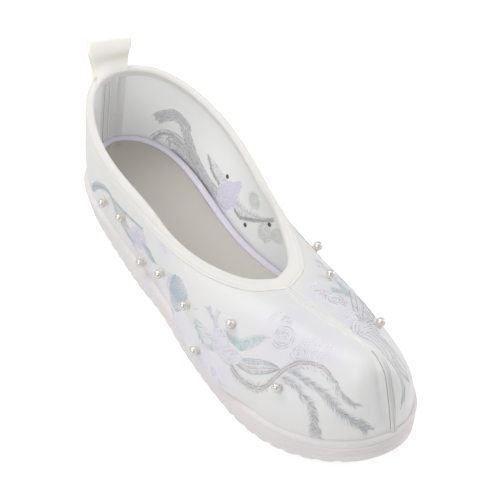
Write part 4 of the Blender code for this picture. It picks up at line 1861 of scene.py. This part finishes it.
    def barbs(self, silks: Mix, course: Array, reach: float, pitch: float, lean: float,
              span: Pair = (0.0, 1.0), width: float = 0.38) -> None:
        """Short stitches that stand out from a course like the barbs of a feather.

        Args:
            silks: Threads to use.
            course: Course of the quill.
            reach: Distance that a barb stands out; below zero is the other side.
            pitch: Distance between barbs.
            lean: How far a barb leans forward, as a share of its reach.
            span: Shares of the course to start and end at.
            width: Width of the thread.
        """
        length = running_length(self.on_wall(course))
        count = max(2, int(length[-1] * (span[1] - span[0]) / pitch))
        stray = self.hand.uniform(-self.barb_stray, self.barb_stray, count) * pitch
        at = np.linspace(*span, count) * length[-1] + stray
        root = read_along(at, length, course)
        tangent, across = (read_along(at, length, vectors) for vectors in self.axes(course))
        size = reach * self.hand.uniform(*self.barb_sizes, count)[:, None]
        tip = self.moved(root, across * size + tangent * np.abs(size) * lean)
        share = np.linspace(0.0, 1.0, self.barb_samples)[None, :, None]
        self.keep(silks, root[:, None] + share * (tip - root)[:, None], width, self.barb_height)

    def plume(self, silks: Mix, course: Array, reach: float) -> None:
        """A fluffy plume: long and short barbs laid over each other on both sides of a quill."""
        for way in (reach, -reach):
            for share, lean in ((1.0, 1.5), (0.55, 1.2)):
                self.barbs(silks, course, way * share, self.plume_pitch, lean, width=self.plume_width)

    def stripes(self, shape: Shape, stripes: Sequence[tuple[float, Thread]], width: float = 0.5) -> None:
        """Lines between the two edges of a shape.

        Args:
            shape: The two edges.
            stripes: The share of the way between the edges and the thread of each line.
            width: Width of the lines.
        """
        left, right = self.course(shape.left), self.course(shape.right)
        for share, thread in stripes:
            self.line((thread,), left + share * (right - left), width, self.stripe_height)

    def petal(self, centre: Sequence[float], length: float, width: float, turn: float) -> None:
        """A small leaf filled with stitches.

        Args:
            centre: Place of its middle.
            length: Its length in millimetres.
            width: Its width in millimetres.
            turn: Its turn in degrees.
        """
        share = np.linspace(-1.0, 1.0, self.petal_samples)
        swell = width / 2.0 * (1.0 - share ** 2) + self.petal_tip
        angle = math.radians(turn)
        places = np.repeat(np.array([centre], dtype=float), self.petal_samples, axis=0)
        forward, rise = self.compass(places)
        line = (math.cos(angle) * forward + math.sin(angle) * rise) * (share * length / 2.0)[:, None]
        sideways = (-math.sin(angle) * forward + math.cos(angle) * rise) * swell[:, None]
        self.fill(PETAL, Shape(self.moved(places, line + sideways), self.moved(places, line - sideways)))

    def front_bird(self) -> None:
        """The bird on the forepart: crest, breast, two wings and the big leaf behind it."""
        leaf = Shape(self.seen((0.537, 0.60), (0.494, 0.41), (0.478, 0.26), (0.487, 0.18), (0.513, 0.21)),
                     self.seen((0.537, 0.60), (0.574, 0.64), (0.590, 0.58), (0.578, 0.49), (0.513, 0.21)))
        self.fill(LEAF, leaf)
        self.barbs(BREAST, self.course(leaf.left), -3.0, 0.35, 0.6, (0.05, 0.9))
        near = Shape(self.seen((0.597, 0.40), (0.600, 0.31), (0.616, 0.28), (0.645, 0.31)),
                     self.seen((0.597, 0.40), (0.633, 0.44), (0.655, 0.44), (0.645, 0.31)))
        self.fill(DOWN, near, spacing=0.55)
        self.barbs((TEAL, SILVER, MINT), self.course(near.left), -2.4, 0.5, 0.9)
        far = Shape(self.seen((0.706, 0.56), (0.728, 0.55), (0.748, 0.56), (0.770, 0.60), (0.795, 0.64),
                              (0.822, 0.66)),
                    self.seen((0.712, 0.52), (0.723, 0.49), (0.737, 0.48), (0.757, 0.52), (0.787, 0.59),
                              (0.822, 0.66)))
        self.fill(WING, far, spacing=0.36)
        self.barbs(DOWN, self.course(far.right), -1.6, 0.5, 1.2, (0.45, 1.0))
        self.barbs((SILVER, TEAL), self.course(far.left), 0.9, 0.9, 0.8, (0.3, 0.9))
        breast = Shape(self.seen((0.684, 0.57), (0.667, 0.46), (0.656, 0.38), (0.659, 0.30),
                                 (0.682, 0.29), (0.712, 0.34)),
                       self.seen((0.686, 0.57), (0.702, 0.53), (0.713, 0.49), (0.724, 0.46),
                                 (0.738, 0.46), (0.745, 0.42)))
        self.fill(BREAST, breast, ragged=1.3)
        self.barbs(BREAST, self.course(breast.left), 1.6, 0.5, 0.8)
        self.barbs((LILAC, SILVER), self.course(breast.right), -1.5, 0.7, 0.8)
        for crest in (self.seen((0.686, 0.54), (0.682, 0.58), (0.678, 0.60), (0.671, 0.63)),
                      self.seen((0.684, 0.56), (0.690, 0.60), (0.696, 0.63), (0.700, 0.65))):
            self.line(BREAST, self.course(crest), width=0.6)
            for way in (1.5, -1.5):
                self.barbs((SILVER, LILAC), self.course(crest), way, 0.4, 1.2)

    def outer_tail(self) -> None:
        """The front bird's tail on the outer side: a striped lens and three long plumes."""
        lens = Shape(((0.744, 0.44), (0.772, 0.48), (0.797, 0.50), (0.816, 0.50), (0.828, 0.48)),
                     ((0.720, 0.36), (0.748, 0.36), (0.773, 0.39), (0.800, 0.43), (0.828, 0.48)))
        self.fill(DOWN, lens, spacing=0.6)
        self.stripes(lens, ((0.0, SILVER), (0.14, TEAL), (0.3, SILVER), (0.45, LILAC), (0.6, PEACH),
                            (0.72, LILAC), (0.85, SILVER), (1.0, SLATE)))
        first = self.course(((0.703, 0.33), (0.711, 0.28), (0.729, 0.26), (0.754, 0.27), (0.778, 0.31),
                             (0.798, 0.37), (0.817, 0.43), (0.836, 0.48), (0.858, 0.52), (0.878, 0.54),
                             (0.895, 0.54), (0.909, 0.52),
                             (0.917, 0.47), (0.921, 0.41), (0.923, 0.35), (0.929, 0.28), (0.938, 0.23)))
        quill = first[:self.quill_end]
        self.line((PEACH,), quill, width=0.7, height=0.3)
        for offset in (-0.75, 0.75):
            self.line(QUILL, self.beside(quill, offset), width=0.5, height=0.35)
        self.barbs(QUILL, self.beside(first, -1.2), -1.5, 0.9, 0.4, (0.02, 0.32))
        self.barbs(DOWN, self.beside(first, 1.0), 2.2, 0.5, 0.6, (0.02, 0.28))
        self.barbs(QUILL, self.beside(first, 0.9), 1.1, 1.0, 0.4, (0.3, 0.6))
        self.plume(PLUME, first[self.plume_start:], 1.4)
        self.barbs(PLUME, self.beside(first, -1.6), -1.8, 0.8, 0.8, (0.5, 0.9))
        self.barbs(TIP, first, 2.2, 0.4, 2.0, (0.9, 1.0), width=0.5)
        self.barbs(TIP, first, -1.2, 0.5, 2.4, (0.9, 1.0), width=0.5)
        second = self.course(((0.838, 0.48), (0.853, 0.48), (0.865, 0.45), (0.881, 0.41), (0.894, 0.36),
                              (0.903, 0.30), (0.911, 0.23), (0.922, 0.17), (0.938, 0.11), (0.957, 0.05)))
        third = self.course(((0.824, 0.43), (0.836, 0.42), (0.847, 0.40), (0.857, 0.34), (0.866, 0.29),
                             (0.869, 0.22), (0.868, 0.14), (0.869, 0.04)))
        for course in (second, third):
            self.plume(PLUME, course, 2.2)
            self.line((SILVER, ASH), course, width=0.5, height=0.35)
            for way in (3.4, -3.4):
                self.barbs(TIP, course, way, 0.4, 1.1, (0.78, 1.0), width=0.5)
                self.barbs(PLUME, course, way, 0.6, 1.0, (0.4, 0.95))

    def inner_tail(self) -> None:
        """The front bird's tail on the inner side: nested lens lines, a curl and three bands."""
        lens = Shape(((0.766, 0.61), (0.833, 0.67), (0.888, 0.69), (0.909, 0.67)),
                     ((0.742, 0.46), (0.775, 0.46), (0.830, 0.53), (0.895, 0.62)))
        self.fill((ASH, LILAC, SILVER), lens, spacing=0.8)
        self.stripes(lens, ((0.0, SLATE), (0.12, LILAC), (0.24, SLATE), (0.4, LILAC), (0.52, SLATE),
                            (0.65, PEACH), (0.78, SILVER), (1.0, SLATE)), 0.6)
        curl = self.course(((0.836, 0.53), (0.899, 0.62), (0.942, 0.69), (0.961, 0.69), (0.968, 0.67),
                            (0.951, 0.65), (0.914, 0.60), (0.895, 0.55)))
        for offset, silks in ((-1.8, QUILL), (-0.9, WHITE), (0.0, QUILL), (0.9, WHITE), (1.8, QUILL)):
            self.line(silks, self.beside(curl, offset), width=0.6)
        for points in (((0.965, 0.67), (0.959, 0.63), (0.955, 0.58), (0.964, 0.52), (0.967, 0.39),
                        (0.962, 0.26), (0.959, 0.20), (0.965, 0.10)),
                       ((0.935, 0.62), (0.932, 0.57), (0.944, 0.48), (0.952, 0.38), (0.944, 0.28),
                        (0.933, 0.23)),
                       ((0.912, 0.58), (0.916, 0.51), (0.920, 0.41), (0.912, 0.29))):
            band = self.course(points)
            for way in (1.4, -1.4):
                self.barbs((LILAC, LILAC, ASH), band, way, 0.6, 1.4)
                self.line((SILVER,), self.beside(band, way), 0.4)
            self.barbs(TIP, band, 1.8, 0.6, 1.6, (0.85, 1.0))

    def clouds(self) -> None:
        """Clouds of fine white rings, and small leaves by the sole."""
        for centre, reach, turns in (((0.863, 0.68), 6.4, 4.0), ((0.895, 0.785), 3.6, 2.5),
                                     ((0.880, 0.595), 4.4, 2.5)):
            for lag, silks, width in ((0.0, WHITE, 0.7), (180.0, (SILVER, LILAC, LILAC), 0.35)):
                spiral = self.arc(self.seen(centre)[0], (reach, 0.5), (lag, lag + 360.0 * turns))
                self.line(silks, spiral, width, 0.35)
        for centre in ((0.866, 0.775), (0.900, 0.63), (0.914, 0.64), (0.928, 0.62), (0.942, 0.60),
                       (0.905, 0.56), (0.922, 0.55)):
            for radius in (2.2, 3.4, 4.6):
                self.line(WHITE, self.arc(self.seen(centre)[0], (radius, radius), (70.0, 200.0)), 0.55, 0.35)
        for centre, length, width, turn in (((0.504, 0.14), 9.0, 2.4, -20.0), ((0.524, 0.12), 8.0, 2.2, 15.0),
                                            ((0.612, 0.16), 8.0, 2.4, -35.0), ((0.626, 0.13), 7.0, 2.2, 10.0),
                                            ((0.655, 0.15), 9.0, 2.4, -20.0), ((0.668, 0.12), 8.0, 2.2, 5.0),
                                            ((0.613, 0.51), 5.0, 2.0, 40.0)):
            self.petal(self.seen(centre)[0], length, width, turn)

    def outer_rear(self) -> None:
        """The rear bird on the outer side, with its curled tail towards the heel."""
        low = self.course(((0.150, 0.10), (0.172, 0.28), (0.212, 0.49), (0.243, 0.58), (0.260, 0.53),
                           (0.267, 0.40), (0.280, 0.30), (0.303, 0.24), (0.324, 0.22)))
        high = self.course(((0.262, 0.57), (0.295, 0.57), (0.329, 0.59), (0.364, 0.63), (0.396, 0.65)))
        wing = Shape(((0.262, 0.55), (0.272, 0.38), (0.290, 0.27), (0.322, 0.23)),
                     ((0.280, 0.55), (0.300, 0.50), (0.322, 0.42), (0.330, 0.30)))
        self.fill(DOWN, wing, spacing=0.6)
        for course, reach in ((low, 2.2), (high, 1.4)):
            self.plume((TEAL, SILVER, MINT, ASH, LILAC), course, reach)
        breast = Shape(((0.384, 0.64), (0.340, 0.47), (0.326, 0.28), (0.349, 0.24)),
                       ((0.384, 0.64), (0.401, 0.60), (0.390, 0.46), (0.349, 0.24)))
        self.fill((LAVENDER, LAVENDER, LILAC), breast, ragged=1.0)
        second = Shape(((0.378, 0.46), (0.373, 0.36), (0.390, 0.31), (0.437, 0.39)),
                       ((0.378, 0.46), (0.407, 0.47), (0.419, 0.42), (0.437, 0.39)))
        self.fill(LEAF, second, spacing=0.36, ragged=0.6)
        for centre, length in (((0.330, 0.13), 8.0), ((0.398, 0.07), 9.0), ((0.500, 0.74), 6.0)):
            self.petal(centre, length, 2.2, -15.0)

    def inner_rear(self) -> None:
        """The rear bird on the inner side, seen on the satin or from the back on the lining."""
        reverse = self.face is Face.LINING
        down, quill, wing_silks = (BACK, BACK_LINE, BACK) if reverse else (DOWN, QUILL, WING)
        hook = self.course(((0.098, 0.42), (0.107, 0.47), (0.119, 0.52), (0.136, 0.57), (0.149, 0.56),
                            (0.163, 0.48), (0.181, 0.38), (0.205, 0.29), (0.233, 0.23), (0.262, 0.20),
                            (0.292, 0.20)))
        for offset in (-1.6, 1.6):
            strand = self.beside(hook, offset)
            self.plume(down, strand, 1.9)
            self.plume(down, strand[::-1], 1.9)
        for offset in (-3.2, 0.0, 3.2):
            self.line(quill, self.beside(hook, offset), width=0.6)
        for points, reach in ((((0.094, 0.16), (0.103, 0.22), (0.121, 0.30), (0.141, 0.33), (0.160, 0.33),
                                (0.180, 0.28), (0.214, 0.22)), 2.2),
                              (((0.130, 0.18), (0.148, 0.26), (0.164, 0.26), (0.192, 0.20),
                                (0.226, 0.16)), 2.4),
                              (((0.139, 0.17), (0.158, 0.16), (0.190, 0.13), (0.222, 0.10),
                                (0.260, 0.10)), 2.4)):
            course = self.course(points)
            self.plume(down, course, reach)
            self.line(quill, self.beside(course, reach), width=0.6)
        near = Shape(((0.235, 0.47), (0.249, 0.41), (0.264, 0.35), (0.290, 0.32)),
                     ((0.235, 0.47), (0.262, 0.47), (0.290, 0.46), (0.312, 0.42)))
        self.fill(wing_silks, near, spacing=0.5)
        self.plume(quill, self.course(near.left), 1.2)
        breast = Shape(((0.366, 0.58), (0.327, 0.47), (0.295, 0.32), (0.283, 0.20), (0.307, 0.15),
                        (0.325, 0.16)),
                       ((0.366, 0.58), (0.364, 0.51), (0.358, 0.41), (0.355, 0.33), (0.343, 0.23),
                        (0.330, 0.17)))
        self.fill((LAVENDER,), breast, ragged=1.0, width=0.7)
        far = Shape(((0.354, 0.38), (0.379, 0.39), (0.410, 0.41), (0.440, 0.44), (0.480, 0.52)),
                    ((0.350, 0.26), (0.368, 0.24), (0.390, 0.28), (0.425, 0.37), (0.480, 0.52)))
        self.fill(wing_silks, far, spacing=0.5, ragged=1.2)
        self.plume(quill, self.course(far.right), 1.2)
        self.stripes(far, ((0.4, SILVER), (0.7, ASH)))
        for centre, reach in (((0.416, 0.53), 4.5), ((0.447, 0.31), 5.0), ((0.484, 0.38), 4.0)):
            spiral = self.arc(centre, (reach, 0.6), (60.0, 960.0))
            self.line((ASH,) if reverse else WHITE, spiral, 0.9)
            if reverse:
                self.plume((ASH,), spiral, 1.2)

    def build_piece(self, thread: Thread, face: Face, batches: list[Stitches]) -> None:
        """Join every stitch of one thread on one face into a piece.

        Args:
            thread: The thread.
            face: Face of the upper.
            batches: Its stitches there.
        """
        points, faces, first = [], [], 0
        for batch in batches:
            place = self.last.on_side(batch.side, batch.places[..., 0])
            up = np.clip(batch.places[..., 1], 0.0, self.highest)
            normal = self.drape.normal(place, up)
            point = self.drape.point(place, up)
            if face is Face.LINING:
                normal = -normal
                point = point + LINING_FACE * normal
            found, corners = thread_mesh(point, normal, batch.width, batch.height)
            points.append(found)
            faces.append(corners + first)
            first += len(found)
        rows = [tuple(row) if row[2] != row[3] else tuple(row[:3]) for row in np.concatenate(faces).tolist()]
        name = f"{face.value}_{thread.name.lower()}_stitches"
        mesh = bpy.data.meshes.new(name)
        mesh.from_pydata((np.concatenate(points) * MM).tolist(), [], rows)
        mesh.shade_smooth()
        piece = bpy.data.objects.new(name, mesh)
        bpy.context.scene.collection.objects.link(piece)
        settle(piece, thread.value)

    def build(self) -> None:
        """Stitch every motif and join the stitches by thread."""
        for side in Side:
            self.turn_to(side)
            self.front_bird()
            self.clouds()
        self.turn_to(Side.OUTER)
        self.outer_tail()
        self.turn_to(Side.INNER)
        self.inner_tail()
        self.turn_to(Side.OUTER)
        self.outer_rear()
        for face in Face:
            self.turn_to(Side.INNER, face)
            self.inner_rear()
        for (thread, face), batches in self.batches.items():
            self.build_piece(thread, face, batches)


class Light(NamedTuple):
    """A square soft light, in metres and watts."""

    name: str
    place: Spot
    size: float
    power: float


LIGHTS = (
    Light("top_light", (0.1, 0.1, 1.7), 1.5, 7.2),
    Light("back_light", (-0.4, 0.8, 1.2), 0.7, 4.8),
    Light("side_light", (-1.1, -0.3, 0.95), 0.8, 6.3),
    Light("far_light", (1.3, -0.4, 0.5), 0.8, 5.6),
    Light("front_light", (0.1, -1.3, 0.5), 0.6, 1.0),
)


@dataclass(frozen=True)
class Studio:
    """Camera at the photo's angle, soft lights, pale floor."""

    azimuth: float = -36.72
    elevation: float = 44.34
    roll: float = 4.59
    distance: float = 1560.0
    lens: float = 228.6
    aim: Spot = (4.35, -1.2, 42.97)
    world_strength: float = 0.37
    dark_share: float = 0.2
    dark_cone: Pair = (0.82, 0.93)
    sensor: float = 36.0
    clip_start: float = 0.05
    light_aim: Spot = (0.0, 0.0, 0.04)
    floor_size: float = 6.0

    def build_camera(self) -> None:
        """Point the camera at the shoe from the photo's angle."""
        around, tilt = math.radians(self.azimuth), math.radians(self.roll)
        back = self.back()
        level = np.array([math.cos(around), math.sin(around), 0.0])
        upright = np.cross(back, level)
        right = math.cos(tilt) * level + math.sin(tilt) * upright
        up = -math.sin(tilt) * level + math.cos(tilt) * upright
        place = (np.array(self.aim) + back * self.distance) * MM
        data = bpy.data.cameras.new("photo_camera")
        data.lens = self.lens
        data.sensor_width = self.sensor
        data.clip_start = self.clip_start
        camera = bpy.data.objects.new("photo_camera", data)
        camera.matrix_world = axes_matrix(right, up, back, place)
        bpy.context.scene.collection.objects.link(camera)
        bpy.context.scene.camera = camera

    def build_light(self, light: Light) -> None:
        """Hang a light so that it faces the shoe."""
        data = bpy.data.lights.new(light.name, "AREA")
        data.size = light.size
        data.energy = light.power
        lamp = bpy.data.objects.new(light.name, data)
        back = unit(np.array(light.place) - np.array(self.light_aim))
        side = unit(np.cross(np.array([0.0, 0.0, 1.0]), back))
        lamp.matrix_world = axes_matrix(side, np.cross(back, side), back, light.place)
        bpy.context.scene.collection.objects.link(lamp)

    def back(self) -> Array:
        """Direction from the shoe to the camera."""
        around, above = math.radians(self.azimuth), math.radians(self.elevation)
        level = np.array([math.sin(around), -math.cos(around), 0.0]) * math.cos(above)
        return level + np.array([0.0, 0.0, math.sin(above)])

    def build_world(self) -> None:
        """Surround the shoe with a white room that is darker behind the camera."""
        world = bpy.data.worlds.new("white_room")
        world.use_nodes = True
        tree = world.node_tree
        near, far = self.dark_cone
        coords = add_node(tree, "TexCoord")
        facing = add_node(tree, "VectorMath", {1: tuple(self.back())},
                          {0: coords.outputs["Generated"]}, operation="DOT_PRODUCT")
        strength = add_node(tree, "MapRange",
                            {"From Min": near, "From Max": far, "To Min": self.world_strength,
                             "To Max": self.world_strength * self.dark_share},
                            {"Value": facing.outputs["Value"]}, interpolation_type="SMOOTHSTEP")
        background = tree.nodes["Background"]
        background.inputs["Color"].default_value = (1.0, 1.0, 1.0, 1.0)
        tree.links.new(strength.outputs["Result"], background.inputs["Strength"])
        bpy.context.scene.world = world

    def build_floor(self) -> None:
        """Lay a sheet of white paper under the shoe."""
        deselect()
        bpy.ops.mesh.primitive_plane_add(size=self.floor_size, location=(0.0, 0.0, 0.0))
        floor = bpy.context.object
        floor.name = "studio_floor"
        PAPER.dress(floor)

    def build(self) -> None:
        """Set up the studio."""
        self.build_world()
        self.build_floor()
        for light in LIGHTS:
            self.build_light(light)
        self.build_camera()
        view = bpy.context.scene.view_settings
        view.view_transform = "Standard"


def main() -> None:
    """Build the shoe piece by piece around its frame, then the studio."""
    logging.basicConfig(level=logging.INFO, format="%(name)s: %(message)s")
    last = Last()
    drape = Drape(last)
    Sole(last).build()
    Upper(last, drape).build()
    Footbed(last).build()
    Collar(last).build()
    Pearls(last, drape).build()
    Embroidery(last, drape).build()
    Studio().build()


if __name__ == "__main__":
    main()
